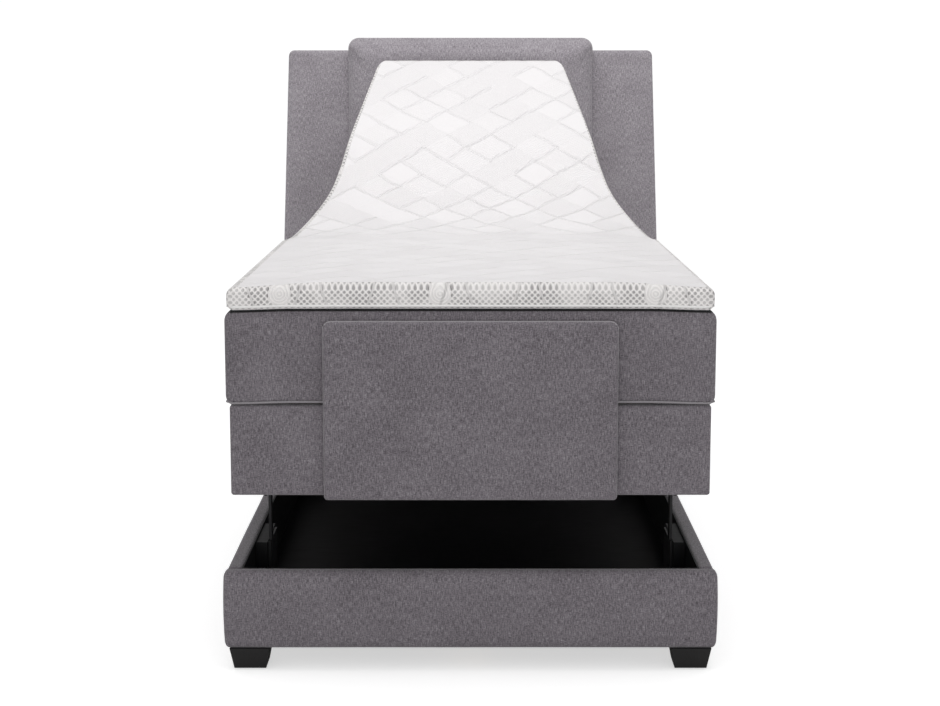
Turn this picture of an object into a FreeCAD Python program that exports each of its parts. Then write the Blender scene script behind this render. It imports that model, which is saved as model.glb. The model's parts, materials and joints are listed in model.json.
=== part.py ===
import FreeCAD, Part

import math
import os

import Sketcher


# ---------------------------------------------------------------- driving dimensions
# Adjustable box-spring bed, 1000 x 2000 mm. X is across the bed, +Y points from the foot end to
# the headboard and +Z up. The model stands as used for opening the storage: the upper box is
# lifted level on its arms and the back rest is raised.

DRIVING = (
    ("total_length", 2190, "front panel to rear of headboard"),
    ("foot_height", 48, "clear height under the storage base"),
    ("glide_height", 3, "felt glide under each foot"),
    ("storage_width", 1020, "storage base across the side rails"),
    ("storage_front_width", 1028, "padded storage front"),
    ("storage_height", 167, "storage base rails"),
    ("storage_start", 35, "front face of the storage front"),
    ("storage_end", 2045, "rear face of the storage base"),
    ("board", 30, "thickness of the storage boards"),
    ("lining", 3, "black lining board"),
    ("floor_rise", 22, "storage floor above the rails' lower edge"),
    ("floor_board", 10, "storage floor thickness"),
    ("box_width", 988, "upper box"),
    ("box_start", 26, "front face of the upper box"),
    ("box_length", 2000, "upper box and mattress"),
    ("box_low", 379.5, "underside of the upper box as lifted"),
    ("box_height", 189, "upper box rails"),
    ("box_board", 22, "upper box board"),
    ("panel_width", 600, "front panel"),
    ("panel_low", 375, "underside of the front panel"),
    ("panel_height", 370, "front panel"),
    ("mattress_width", 1000, "mattress"),
    ("mattress_low", 569, "underside of the mattress"),
    ("mattress_height", 197, "mattress"),
    ("topper_width", 996, "topper"),
    ("topper_height", 46.5, "topper"),
    ("seam_gap", 0.5, "between mattress and topper"),
    ("headboard_start", 2110, "front of the headboard panel"),
    ("headboard_top", 1310, "top of the headboard panel"),
    ("headboard_top_width", 1163, "headboard panel at its top"),
    ("headboard_low_width", 1212, "headboard panel at and below its shoulder"),
    ("headboard_shoulder", 700, "height where the headboard panel starts to taper"),
    ("cushion_start", 2050, "front of the headboard cushion"),
    ("cushion_width", 778, "headboard cushion"),
    ("cushion_low", 400, "underside of the headboard cushion"),
    ("cushion_top", 1349, "top of the headboard cushion"),
    ("arm_length", 500, "lift arm between its pivots"),
    ("arm_closed", 8, "slope of the lift arms below level, closed"),
    ("arm_rest", 10.885, "slope of the lift arms above level, as modelled"),
    ("arm_plate", 6, "thickness of arms and lift plates"),
    ("arm_inside", 456, "inner face of the lift arms"),
    ("pivot_rise", 30, "box pivots above the box's underside"),
    ("front_pivot", 330, "front arms' base pivot from the foot end"),
    ("rear_pivot", 1330, "rear arms' base pivot from the foot end"),
    ("shaft_radius", 10, "cross tube that the arms turn on"),
    ("pin_radius", 6, "pivot pins"),
    ("running_gap", 0.05, "radial clearance of turning pins"),
    ("gas_on_arm", 180, "gas spring stud along the rear arm"),
    ("gas_base_ahead", 60, "gas spring base stud, headward of the arm pivot"),
    ("gas_base_drop", 170, "gas spring base stud, below the arm pivot"),
    ("gas_radius", 11, "gas spring cylinder"),
    ("gas_length", 150, "gas spring cylinder from its stud"),
    ("gas_centre", 432, "gas spring axis from the middle of the bed"),
    ("hinge_height", 533.5, "deck hinges"),
    ("back_hinge", 1156, "back hinge from the foot end"),
    ("thigh_hinge", 906, "thigh hinge from the foot end"),
    ("knee_offset", 300, "thigh hinge to knee hinge"),
    ("back_rest_angle", 36.5, "slope of the back rest as modelled"),
    ("tube", 25, "deck tube, square"),
    ("tube_wall", 2, "deck tube wall"),
    ("tube_low", -6, "deck tube underside from the hinge line"),
    ("slat", 12, "slat thickness"),
    ("slat_low", 21.5, "slat underside from the hinge line"),
    ("side_tube_inside", 440, "inner face of the fixed side tubes"),
    ("outer_rail", 412.5, "middle of the thigh and calf side tubes"),
    ("inner_rail", 217.5, "middle of the rails that the lifting arms push on"),
    ("torsion_radius", 12, "torsion shaft"),
    ("torsion_back", 60, "torsion shaft from its hinge, away from the section it lifts"),
    ("torsion_drop", 45, "torsion shaft below its hinge"),
    ("lifter_length", 280, "torsion shaft to glide disc"),
    ("glide_radius", 15, "glide disc"),
    ("back_glide_drop", 22.3, "centre of the back glides under their section's hinge line"),
    ("leg_glide_drop", 21.4, "centre of the leg glides under their section's hinge line"),
    ("lever_length", 42, "drive lever on the torsion shaft"),
    ("spindle_height", 424, "drive spindles"),
)

# half width of the back rest's soft layers along its length: (distance from hinge, half width)
BACK_OUTLINE = ((0, 498), (180, 434), (290, 390), (520, 341), (870, 268))
# set-back of the layers' ends from upright, in degrees, so that the joints can close
BACK_WEDGE = 46
SEAT_WEDGE = 16
THIGH_WEDGE = 16
FOOT_WEDGE = 5

document = FreeCAD.newDocument("adjustable_bed_base")
sheet = document.addObject("Spreadsheet::Sheet", "Dims")
for row, (alias, value, note) in enumerate(DRIVING, start=1):
    sheet.set(f"A{row}", alias)
    sheet.set(f"B{row}", str(value))
    sheet.set(f"C{row}", note)
    sheet.setAlias(f"B{row}", alias)
document.recompute()


class Size:
    """A length or angle worked out from the sheet: its value, and the text that binds it."""

    def __init__(self, value, text=None):
        self.value = float(value)
        self.text = text or repr(self.value)

    def join(self, other, sign, value):
        return Size(value, f"({self.text} {sign} {other.text})")

    def __add__(self, other):
        other = as_size(other)
        return self.join(other, "+", self.value + other.value)

    def __sub__(self, other):
        other = as_size(other)
        return self.join(other, "-", self.value - other.value)

    def __mul__(self, other):
        other = as_size(other)
        return self.join(other, "*", self.value * other.value)

    def __truediv__(self, other):
        other = as_size(other)
        return self.join(other, "/", self.value / other.value)

    def __radd__(self, other):
        return as_size(other) + self

    def __rsub__(self, other):
        return as_size(other) - self

    def __rmul__(self, other):
        return as_size(other) * self

    def __neg__(self):
        return Size(-self.value, f"(0 - {self.text})")


def as_size(number):
    return number if isinstance(number, Size) else Size(number)


def cosine(angle):
    return Size(math.cos(math.radians(angle.value)), f"cos({angle.text} * 1 deg)")


def sine(angle):
    return Size(math.sin(math.radians(angle.value)), f"sin({angle.text} * 1 deg)")


def tangent(angle):
    angle = as_size(angle)
    return Size(math.tan(math.radians(angle.value)), f"tan({angle.text} * 1 deg)")


class Dimensions:
    """Every driving dimension, by its name in the sheet."""


d = Dimensions()
for alias, value, note in DRIVING:
    setattr(d, alias, Size(value, f"Dims.{alias}"))

nodes = []


def along(distance):
    """Y of a distance measured from the foot end."""
    return distance - d.total_length / 2


def bind(thing, path, size):
    thing.setExpression(path, as_size(size).text)


def place(thing, x=0, y=0, z=0, tilt=0):
    """Bind where a piece stands, and its turn about X in degrees."""
    bind(thing, "Placement.Base.x", x)
    bind(thing, "Placement.Base.y", y)
    bind(thing, "Placement.Base.z", z)
    thing.Placement.Rotation = FreeCAD.Rotation(FreeCAD.Vector(1, 0, 0), as_size(tilt).value)
    if isinstance(tilt, Size):
        bind(thing, "Placement.Rotation.Angle", tilt)


def finish(thing, label, **where):
    """Name a finished sub-part and keep it for writing."""
    if where:
        place(thing, **where)
    thing.Label = label
    nodes.append(thing)
    return thing


# ---------------------------------------------------------------- Part primitives

def block(x0, x1, y0, y1, z0, z1):
    """A box between three pairs of limits."""
    box = document.addObject("Part::Box", "block")
    bind(box, "Length", as_size(x1) - x0)
    bind(box, "Width", as_size(y1) - y0)
    bind(box, "Height", as_size(z1) - z0)
    place(box, x0, y0, z0)
    return box


def rod(axis, radius, start, end, x=0, y=0, z=0):
    """A cylinder along X, Y or Z from start to end, through the point given by the others."""
    cylinder = document.addObject("Part::Cylinder", "rod")
    bind(cylinder, "Radius", radius)
    bind(cylinder, "Height", as_size(end) - start)
    turns = {"X": ((0, 1, 0), 90), "Y": ((1, 0, 0), -90), "Z": ((0, 0, 1), 0)}
    direction, angle = turns[axis]
    cylinder.Placement.Rotation = FreeCAD.Rotation(FreeCAD.Vector(*direction), angle)
    base = {"x": x, "y": y, "z": z}
    base[axis.lower()] = start
    for letter, size in base.items():
        bind(cylinder, f"Placement.Base.{letter}", size)
    return cylinder


def cut(base, *tools):
    """The base piece with every tool taken away."""
    for tool in tools:
        result = document.addObject("Part::Cut", "cut")
        result.Base = base
        result.Tool = tool
        base = result
    return base


def fuse(*pieces):
    """Pieces welded into one solid."""
    result = document.addObject("Part::MultiFuse", "fuse")
    result.Shapes = list(pieces)
    return result


def group(*pieces):
    """Separate solids of the same kind in one node."""
    result = document.addObject("Part::Compound", "group")
    result.Links = list(pieces)
    return result


def both_sides(make):
    """The pieces that make(side) gives for the left (-1) and the right (+1)."""
    return [make(side) for side in (-1, 1)]


def span(side, inside, outside):
    """The X limits of a piece that lies between two distances from the middle of the bed."""
    if side > 0:
        return inside, outside
    return -as_size(outside), -as_size(inside)


def hollow(x0, x1, y0, y1, z0, z1, axis):
    """A square tube, open along its axis."""
    wall = d.tube_wall
    limits = {"X": [x0, x1], "Y": [y0, y1], "Z": [z0, z1]}
    inner = []
    for letter in "XYZ":
        low, high = limits[letter]
        inner += [low, high] if letter == axis else [as_size(low) + wall, as_size(high) - wall]
    return cut(block(x0, x1, y0, y1, z0, z1), block(*inner))


# ---------------------------------------------------------------- PartDesign bodies

def origin_plane(body, role):
    for feature in body.Origin.OriginFeatures:
        if feature.Role == role:
            return feature
    raise ValueError(role)


def polygon_sketch(body, role, points):
    """A closed outline on one of the body's planes, every corner bound to the sheet."""
    sketch = body.newObject("Sketcher::SketchObject", "outline")
    sketch.AttachmentSupport = [(origin_plane(body, role), "")]
    sketch.MapMode = "FlatFace"
    corners = [(as_size(across), as_size(up)) for across, up in points]
    vectors = [FreeCAD.Vector(across.value, up.value, 0) for across, up in corners]
    count = len(corners)
    for index in range(count):
        line = Part.LineSegment(vectors[index], vectors[(index + 1) % count])
        sketch.addGeometry(line, False)
    for index in range(count):
        sketch.addConstraint(Sketcher.Constraint("Coincident", index, 2, (index + 1) % count, 1))
    for index, (across, up) in enumerate(corners):
        for kind, size in (("DistanceX", across), ("DistanceY", up)):
            number = sketch.addConstraint(Sketcher.Constraint(kind, index, 1, size.value))
            sketch.setExpression(f"Constraints[{number}]", size.text)
    return sketch


def pad(role, points, length, name="board"):
    """A body with one outline padded evenly to both sides of its plane."""
    body = document.addObject("PartDesign::Body", name)
    feature = body.newObject("PartDesign::Pad", "pad")
    feature.Profile = polygon_sketch(body, role, points)
    feature.Profile[0].Visibility = False
    bind(feature, "Length", length)
    feature.Midplane = True
    return body


def round_edges(body, radius, wanted):
    """Fillet the edges of the body's tip whose middle point is wanted."""
    document.recompute()
    tip = body.Tip
    names = []
    for number, edge in enumerate(tip.Shape.Edges, start=1):
        middle = edge.valueAt((edge.FirstParameter + edge.LastParameter) / 2)
        if wanted(middle):
            names.append(f"Edge{number}")
    feature = body.newObject("PartDesign::Fillet", "rounding")
    feature.Base = (tip, names)
    feature.Radius = radius
    return body


def upright_panel(half_widths, low, high, thickness):
    """A board standing across the bed: half widths at its foot and its top."""
    foot, top = half_widths
    points = [(-as_size(foot), low), (foot, low), (top, high), (-as_size(top), high)]
    return pad("XZ_Plane", points, thickness, "panel")


# ---------------------------------------------------------------- storage base

storage_top = d.foot_height + d.storage_height
rail_outside = d.storage_width / 2
rail_inside = rail_outside - d.board
lining_inside = rail_inside - d.lining
inner_front = d.storage_start + d.board
inner_rear = d.storage_end - d.board
floor_low = d.foot_height + d.floor_rise
floor_top = floor_low + d.floor_board
arm_drop = d.arm_length * sine(d.arm_rest)
arm_reach = d.arm_length * cosine(d.arm_rest)
base_pivot_height = d.box_low + d.pivot_rise - arm_drop
BOLT_PLACES = [(side * 290, height) for side in (-1, 1) for height in (110, 175)]
BOLT_RADIUS = 4
DRILL_RADIUS = 4.1


def bolt_holes(start, end):
    return [rod("Y", DRILL_RADIUS, along(start), along(end), x=x, z=z) for x, z in BOLT_PLACES]


def make_storage_boards():
    half = d.storage_front_width / 2
    front = upright_panel((half, half), d.foot_height, storage_top, d.board)
    round_edges(front, 6, lambda p: p.y < -14 and (p.z > 214 or abs(p.x) > 513))
    finish(front, "storage_front", y=along(d.storage_start + d.board / 2))
    for side, name in ((-1, "storage_left_rail"), (1, "storage_right_rail")):
        x0, x1 = span(side, rail_inside, rail_outside)
        rail = block(x0, x1, along(inner_front), along(inner_rear), d.foot_height, storage_top)
        finish(rail, name)
    rear = block(-rail_outside, rail_outside, along(inner_rear), along(d.storage_end),
                 d.foot_height, storage_top)
    finish(cut(rear, *bolt_holes(2000, 2100)), "storage_rear_rail")


def make_storage_inside():
    floor = block(-lining_inside, lining_inside, along(inner_front + d.lining),
                  along(inner_rear - d.lining), floor_low, floor_top)
    finish(floor, "storage_floor")

    bearer_low = d.foot_height + 2
    side_bearers = both_sides(lambda side: block(
        *span(side, rail_inside - 25, rail_inside), along(inner_front), along(inner_rear),
        bearer_low, floor_low))
    middle = block(-30, 30, along(inner_front), along(inner_rear), bearer_low, floor_low)
    finish(group(*side_bearers, middle), "floor_bearers")

    lining_top = storage_top - 2
    sides = both_sides(lambda side: block(
        *span(side, lining_inside, rail_inside), along(inner_front), along(inner_rear),
        floor_top, lining_top))
    front = block(-lining_inside, lining_inside, along(inner_front),
                  along(inner_front + d.lining), floor_top, lining_top)
    rear = block(-lining_inside, lining_inside, along(inner_rear - d.lining),
                 along(inner_rear), floor_top, lining_top)
    rear = cut(rear, *bolt_holes(2000, 2100))
    finish(group(*sides, front, rear), "storage_lining")


def tapered_foot(x, distance, top_half, bottom_half):
    """A square foot that narrows towards the floor."""
    foot = document.addObject("Part::Wedge", "foot")
    limits = {"Xmin": -top_half, "Xmax": top_half, "Zmin": -top_half, "Zmax": top_half,
              "X2min": -bottom_half, "X2max": bottom_half,
              "Z2min": -bottom_half, "Z2max": bottom_half}
    for name, size in limits.items():
        bind(foot, name, size)
    bind(foot, "Ymax", d.foot_height - d.glide_height)
    foot.Placement.Rotation = FreeCAD.Rotation(FreeCAD.Vector(1, 0, 0), -90)
    bind(foot, "Placement.Base.x", x)
    bind(foot, "Placement.Base.y", along(distance))
    bind(foot, "Placement.Base.z", d.foot_height)
    return foot


FOOT_HALF = 42
FOOT_TIP_HALF = 33.5
FOOT_SIDE = 463
GLIDE_RADIUS = 24


def make_feet():
    spots = [(side * FOOT_SIDE, distance) for side in (-1, 1) for distance in (78, 2005)]
    spots.append((0, 1040))
    feet = [tapered_foot(x, distance, FOOT_HALF, FOOT_TIP_HALF) for x, distance in spots]
    finish(group(*feet), "feet")
    glides = [rod("Z", GLIDE_RADIUS, 0, d.glide_height, x=x, y=along(distance))
              for x, distance in spots]
    finish(group(*glides), "foot_glides")


def make_lift_base():
    """Wooden battens and steel plates that carry the lift arms."""
    plate_outside = d.arm_inside - 4
    plate_inside = plate_outside - d.arm_plate
    battens = []
    plates = []
    for pivot in (d.front_pivot, d.rear_pivot):
        for side in (-1, 1):
            battens.append(block(*span(side, plate_outside, lining_inside), along(pivot - 50),
                                 along(pivot + 110), floor_top, storage_top - 7))
            faces = span(side, plate_inside, plate_outside)
            foot_plate = block(*faces, along(pivot - 30), along(pivot + 90),
                               floor_top + 20, storage_top - 10)
            ear = block(*faces, along(pivot - 15), along(pivot + 15),
                        floor_top + 30, base_pivot_height)
            crown = rod("X", 15, *faces, y=along(pivot), z=base_pivot_height)
            bore = rod("X", d.shaft_radius + d.running_gap, *faces,
                       y=along(pivot), z=base_pivot_height)
            pieces = [foot_plate, ear, crown]
            if pivot is d.rear_pivot:
                pieces.append(rod("X", 5, *span(side, d.gas_centre - 8, plate_inside + 1),
                                  y=along(pivot + d.gas_base_ahead),
                                  z=base_pivot_height - d.gas_base_drop))
            plates.append(cut(fuse(*pieces), bore))
    finish(group(*battens), "lift_battens")
    finish(group(*plates), "lift_plates")


def make_headboard():
    thickness = d.total_length - d.headboard_start
    foot_half = d.headboard_low_width / 2
    top_half = d.headboard_top_width / 2
    points = [(-foot_half, 60), (foot_half, 60), (foot_half, d.headboard_shoulder),
              (top_half, d.headboard_top), (-top_half, d.headboard_top),
              (-foot_half, d.headboard_shoulder)]
    panel = pad("XZ_Plane", points, thickness, "headboard")
    round_edges(panel, 8, lambda p: p.y < -39 and p.z > 61)
    place(panel, y=along(d.headboard_start + thickness / 2))
    finish(cut(panel, *bolt_holes(2100, 2140)), "headboard_panel")

    depth = d.headboard_start - d.cushion_start
    half = d.cushion_width / 2
    cushion = upright_panel((half, half), d.cushion_low, d.cushion_top, depth)
    round_edges(cushion, 22, lambda p: p.z > 1340 and abs(p.x) > 380 and abs(p.y) < 1)
    round_edges(cushion, 14, lambda p: p.y < -29 and p.z > 401)
    finish(cushion, "headboard_cushion", y=along(d.cushion_start + depth / 2))

    spacers = both_sides(lambda side: block(
        *span(side, 250, 330), along(d.storage_end), along(d.headboard_start), 80, 205))
    finish(group(*[cut(spacer, *bolt_holes(2000, 2140)) for spacer in spacers]),
           "headboard_spacers")

    bolts = []
    for x, z in BOLT_PLACES:
        shank = rod("Y", BOLT_RADIUS, along(2005), along(2138), x=x, z=z)
        head = rod("Y", 9, along(2004), along(inner_rear - d.lining), x=x, z=z)
        bolts.append(fuse(shank, head))
    finish(group(*bolts), "headboard_bolts")


# ---------------------------------------------------------------- storage lift

ARM_HALF_WIDTH = 13


def lift_arm(side, stud):
    """A flat arm with round ends: the cross tube's end at its origin, a bore at the far end."""
    faces = span(side, d.arm_inside, d.arm_inside + d.arm_plate)
    bar = block(*faces, 0, d.arm_length, -ARM_HALF_WIDTH, ARM_HALF_WIDTH)
    near = rod("X", ARM_HALF_WIDTH, *faces)
    far = rod("X", ARM_HALF_WIDTH, *faces, y=d.arm_length)
    pieces = [bar, near, far]
    if stud:
        pieces.append(rod("X", 4, *span(side, d.gas_centre - 8, d.arm_inside + 1), y=d.gas_on_arm))
    bore = rod("X", d.pin_radius + d.running_gap, *faces, y=d.arm_length)
    return cut(fuse(*pieces), bore)


def make_lift_arms():
    for name, pivot in (("rear", d.rear_pivot), ("front", d.front_pivot)):
        for side, hand in ((-1, "left"), (1, "right")):
            arm = lift_arm(side, name == "rear")
            finish(arm, f"{name}_arm_{hand}", y=along(pivot), z=base_pivot_height, tilt=d.arm_rest)
        outer = rod("X", d.shaft_radius, -d.arm_inside, d.arm_inside)
        inner = rod("X", d.shaft_radius - 2, -d.arm_inside, d.arm_inside)
        finish(cut(outer, inner), f"{name}_cross_tube", y=along(pivot), z=base_pivot_height)


def gas_spring_line():
    """Length and slope of the gas spring, base stud to arm stud, as modelled."""
    ahead = d.gas_on_arm.value * math.cos(math.radians(d.arm_rest.value))
    above = d.gas_on_arm.value * math.sin(math.radians(d.arm_rest.value))
    run = ahead - d.gas_base_ahead.value
    rise = above + d.gas_base_drop.value
    return math.hypot(run, rise), math.degrees(math.atan2(rise, run))


def make_gas_springs():
    length, slope = gas_spring_line()
    base = {"y": along(d.rear_pivot + d.gas_base_ahead),
            "z": base_pivot_height - d.gas_base_drop, "tilt": slope}
    for side, hand in ((-1, "left"), (1, "right")):
        x = side * d.gas_centre
        eye_faces = span(side, d.gas_centre - 6, d.gas_centre + 6)
        eye = rod("X", 9, *eye_faces)
        shell = rod("Y", d.gas_radius, 6, d.gas_length, x=x)
        bore = rod("Y", d.gas_radius - 1.5, 22, d.gas_length - 5, x=x)
        guide = rod("Y", 4 + d.running_gap, d.gas_length - 6, d.gas_length + 1, x=x)
        eye_bore = rod("X", 5 + d.running_gap, *span(side, d.gas_centre - 12, d.gas_centre + 12))
        finish(cut(fuse(eye, shell), bore, guide, eye_bore), f"gas_cylinder_{hand}", **base)

        rod_eye = rod("X", 10, *eye_faces, y=length)
        shaft = rod("Y", 4, length - 140, length - 5, x=x)
        piston = rod("Y", d.gas_radius - 1.6, length - 140, length - 126, x=x)
        slack_bore = rod("X", 6.5, *span(side, d.gas_centre - 12, d.gas_centre + 12), y=length)
        finish(cut(fuse(rod_eye, shaft, piston), slack_bore), f"gas_rod_{hand}", **base)


# ---------------------------------------------------------------- upper box

box_half = d.box_width / 2
box_inside = box_half - d.box_board
box_end = d.box_start + d.box_length
box_top = d.box_low + d.box_height
TUBE_SLOTS = ((290, 360), (1290, 1360))
BATTENS = (160, 890, 1240, 1900)


def make_box_boards():
    front = upright_panel((box_half, box_half), d.box_low, box_top, d.box_board)
    round_edges(front, 5, lambda p: p.y < -10)
    finish(front, "box_front_rail", y=along(d.box_start + d.box_board / 2))
    rear = block(-box_half, box_half, along(box_end - d.box_board), along(box_end),
                 d.box_low, box_top)
    finish(rear, "box_rear_rail")
    for side, name in ((-1, "box_left_rail"), (1, "box_right_rail")):
        x0, x1 = span(side, box_inside, box_half)
        finish(block(x0, x1, along(d.box_start + d.box_board), along(box_end - d.box_board),
                     d.box_low, box_top), name)


def make_box_underside():
    """Dust cover in three fields, clear of the cross tubes when the storage is shut."""
    cover_half = 412
    edges = [d.box_start + d.box_board]
    for low, high in TUBE_SLOTS:
        edges += [as_size(low), as_size(high)]
    edges.append(box_end - d.box_board)
    fields = []
    for start, end in zip(edges[0::2], edges[1::2]):
        fields.append(block(-cover_half, cover_half, along(start), along(end),
                            d.box_low + 1.5, d.box_low + 4.5))
    finish(group(*fields), "box_dust_cover")
    battens = [block(-box_inside, box_inside, along(start), along(start + 40),
                     d.box_low + 4.5, d.box_low + 16.5) for start in BATTENS]
    finish(group(*battens), "box_cross_battens")


def make_box_lift_plates():
    height = d.box_low + d.pivot_rise
    plates = []
    for pivot in (d.front_pivot, d.rear_pivot):
        for side in (-1, 1):
            plate = block(*span(side, box_inside - d.arm_plate, box_inside),
                          along(pivot + arm_reach - 45), along(pivot + arm_reach + 45),
                          d.box_low + 8, d.box_low + 62)
            pin = rod("X", d.pin_radius, *span(side, d.arm_inside - 2, box_inside - 1),
                      y=along(pivot + arm_reach), z=height)
            plates.append(fuse(plate, pin))
    finish(group(*plates), "box_lift_plates")


def make_front_panel():
    half = d.panel_width / 2
    panel = upright_panel((half, half), d.panel_low, d.panel_low + d.panel_height, d.box_start)
    round_edges(panel, 8, lambda p: p.z > 744 and abs(p.x) > 299 and abs(p.y) < 1)
    round_edges(panel, 5, lambda p: p.y < -12)
    finish(panel, "front_panel", y=along(d.box_start / 2))


def make_deck_frame():
    low = 510
    high = 542
    start = d.box_start + d.box_board
    end = box_end - d.box_board
    sides = both_sides(lambda side: hollow(
        *span(side, d.side_tube_inside, d.side_tube_inside + d.tube), along(start), along(end),
        low, high, "Y"))
    finish(group(*sides), "frame_side_tubes")
    reach = d.side_tube_inside + d.tube
    tubes = [hollow(-reach, reach, along(start), along(start + d.tube), low - d.tube, low, "X")
             for start in (110, 1018, 1950)]
    finish(group(*tubes), "frame_cross_tubes")


def shaft_places():
    """Distances from the foot end of the back and the leg torsion shafts."""
    return d.back_hinge - d.torsion_back, d.thigh_hinge + d.torsion_back


torsion_height = d.hinge_height - d.torsion_drop


def make_frame_brackets():
    """Bearing plates of the torsion shafts, hinge pins and the tracks of the calf glides."""
    pieces = []
    for side in (-1, 1):
        for distance in shaft_places():
            faces = span(side, d.side_tube_inside - 6, d.side_tube_inside)
            plate = block(*faces, along(distance - 20), along(distance + 20), 465, 540)
            bore = rod("X", d.torsion_radius + d.running_gap, *span(side, 430, 442),
                       y=along(distance), z=torsion_height)
            pieces.append(cut(plate, bore))
        for distance in (d.back_hinge, d.thigh_hinge):
            pieces.append(rod("X", d.pin_radius, *span(side, 408, d.side_tube_inside),
                              y=along(distance), z=d.hinge_height))
        pieces.append(block(*span(side, 427, d.side_tube_inside), along(62), along(200),
                            512, 519.5))
    finish(group(*pieces), "frame_brackets")


def slat_row(starts, width, half_length, toward=1):
    """Slats at distances from their hinge; half_length(distance) gives each one's reach."""
    slats = []
    for start in starts:
        half = half_length(start + width / 2)
        limits = sorted((toward * start, toward * (start + width)))
        slats.append(block(-half, half, limits[0], limits[1], d.slat_low, d.slat_low + d.slat))
    return slats


def make_seat_slats():
    slats = slat_row((20, 93, 166), 58, lambda distance: 468)
    finish(group(*slats), "seat_slats", y=along(d.thigh_hinge), z=d.hinge_height)


# ---------------------------------------------------------------- drive unit

HOUSING_HALF = 55
HOUSING_START = 912
HOUSING_END = 1156
HOUSING_LOW = 398
HOUSING_SEAM = 445
HOUSING_TOP = 470
WALL = 3


def make_drive_housing():
    """Tray and cover of the two-motor drive, open over the two levers."""
    outer = (-HOUSING_HALF, HOUSING_HALF, along(HOUSING_START), along(HOUSING_END))
    inner = (-HOUSING_HALF + WALL, HOUSING_HALF - WALL,
             along(HOUSING_START + WALL), along(HOUSING_END - WALL))
    tray = cut(block(*outer, HOUSING_LOW, HOUSING_SEAM),
               block(*inner, HOUSING_LOW + WALL, HOUSING_SEAM + 1))
    finish(tray, "drive_housing_tray")
    cover = cut(block(*outer, HOUSING_SEAM, HOUSING_TOP),
                block(*inner, HOUSING_SEAM - 1, HOUSING_TOP - WALL))
    slots = [block(-12, 12, along(distance - 40), along(distance + 40), HOUSING_TOP - 8, HOUSING_TOP + 2)
             for distance in shaft_places()]
    hanger = block(-25, 25, along(1020), along(1041), HOUSING_TOP - 1, 485)
    finish(fuse(cut(cover, *slots), hanger), "drive_housing_cover")


def make_drive_inside():
    motors = [rod("X", 22, HOUSING_HALF, 160, y=along(1100), z=424),
              rod("X", 22, -160, -HOUSING_HALF, y=along(968), z=424)]
    finish(group(*motors), "drive_motors")
    spindles = [rod("Y", 6, along(1037), along(1153), z=d.spindle_height),
                rod("Y", 6, along(915), along(1032), z=d.spindle_height)]
    finish(group(*spindles), "drive_spindles")
    socket = block(-75, -HOUSING_HALF, along(1085), along(1125), 408, 436)
    recess = block(-76, -63, along(1091), along(1119), 413, 431)
    finish(cut(socket, recess), "mains_inlet")


def lever_angle(shaft_turn, whole_turn):
    """The lever leans as far to one side of upright at one end as to the other at the other."""
    return shaft_turn - whole_turn / 2


BACK_SHAFT_RATIO = 0.745
LEG_SHAFT_RATIO = 0.752
BACK_TRAVEL = 60
LEG_TRAVEL = 30
LEVER_TIP = 6
SLIDER_GAP = 0.4
back_lean = lever_angle(d.back_rest_angle.value * BACK_SHAFT_RATIO, BACK_TRAVEL * BACK_SHAFT_RATIO)
leg_lean = lever_angle(0, LEG_TRAVEL * LEG_SHAFT_RATIO)


def make_sliders():
    """Nuts that run on the spindles and push the levers."""
    for name, toward, shaft, lean in (
            ("back_drive_nut", 1, shaft_places()[0], back_lean),
            ("leg_drive_nut", -1, shaft_places()[1], leg_lean)):
        tip = d.lever_length.value * math.sin(math.radians(lean))
        face = shaft + toward * (tip - LEVER_TIP - SLIDER_GAP)
        far = face - toward * 25
        low, high = (far, face) if toward > 0 else (face, far)
        block_piece = block(-14, 14, along(low), along(high), 411, 453)
        bore = rod("Y", 6 + d.running_gap, along(low - 1), along(high + 1), z=d.spindle_height)
        finish(cut(block_piece, bore), name)


def make_torsion_shafts():
    """Shaft with two lifting arms and a drive lever, each lifting arm with a round glide."""
    back, leg = shaft_places()
    for name, toward, distance, lean, slope in (
            ("back_lift_shaft", 1, back, back_lean,
             lifter_slope(d.back_rest_angle.value, d.back_glide_drop.value)),
            ("leg_lift_shaft", -1, leg, leg_lean, lifter_slope(0, d.leg_glide_drop.value))):
        tube = cut(rod("X", d.torsion_radius, -437, 437), rod("X", d.torsion_radius - 3, -437, 437))
        angle = math.radians(slope)
        pieces = [tube]
        for side in (-1, 1):
            arm = block(*span(side, 190, 198), 8, d.lifter_length, -7, 7)
            disc = rod("X", d.glide_radius, *span(side, 198, 231), y=d.lifter_length)
            lifter = fuse(arm, rod("X", 7, *span(side, 190, 198), y=d.lifter_length), disc)
            lifter.Placement.Rotation = FreeCAD.Rotation(
                FreeCAD.Vector(1, 0, 0), slope if toward > 0 else 180 - slope)
            pieces.append(lifter)
        lever = fuse(block(-6, 6, -4, 4, -d.lever_length, -8),
                     rod("X", LEVER_TIP, -6, 6, z=-d.lever_length))
        lever.Placement.Rotation = FreeCAD.Rotation(FreeCAD.Vector(1, 0, 0), toward * lean)
        pieces.append(lever)
        finish(fuse(*pieces), name, y=along(distance), z=torsion_height)


def lifter_slope(section_angle, glide_drop):
    """Slope of a lifting arm whose glide touches the rail of a section at this angle."""
    turn = math.radians(section_angle)
    back = d.torsion_back.value
    drop = d.torsion_drop.value
    lean = (-glide_drop + drop * math.cos(turn) - back * math.sin(turn))
    return section_angle + math.degrees(math.asin(lean / d.lifter_length.value))


# ---------------------------------------------------------------- deck sections

tube_top = d.tube_low + d.tube


def deck_tube(x0, x1, y0, y1, axis):
    return hollow(x0, x1, y0, y1, d.tube_low, tube_top, axis)


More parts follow.
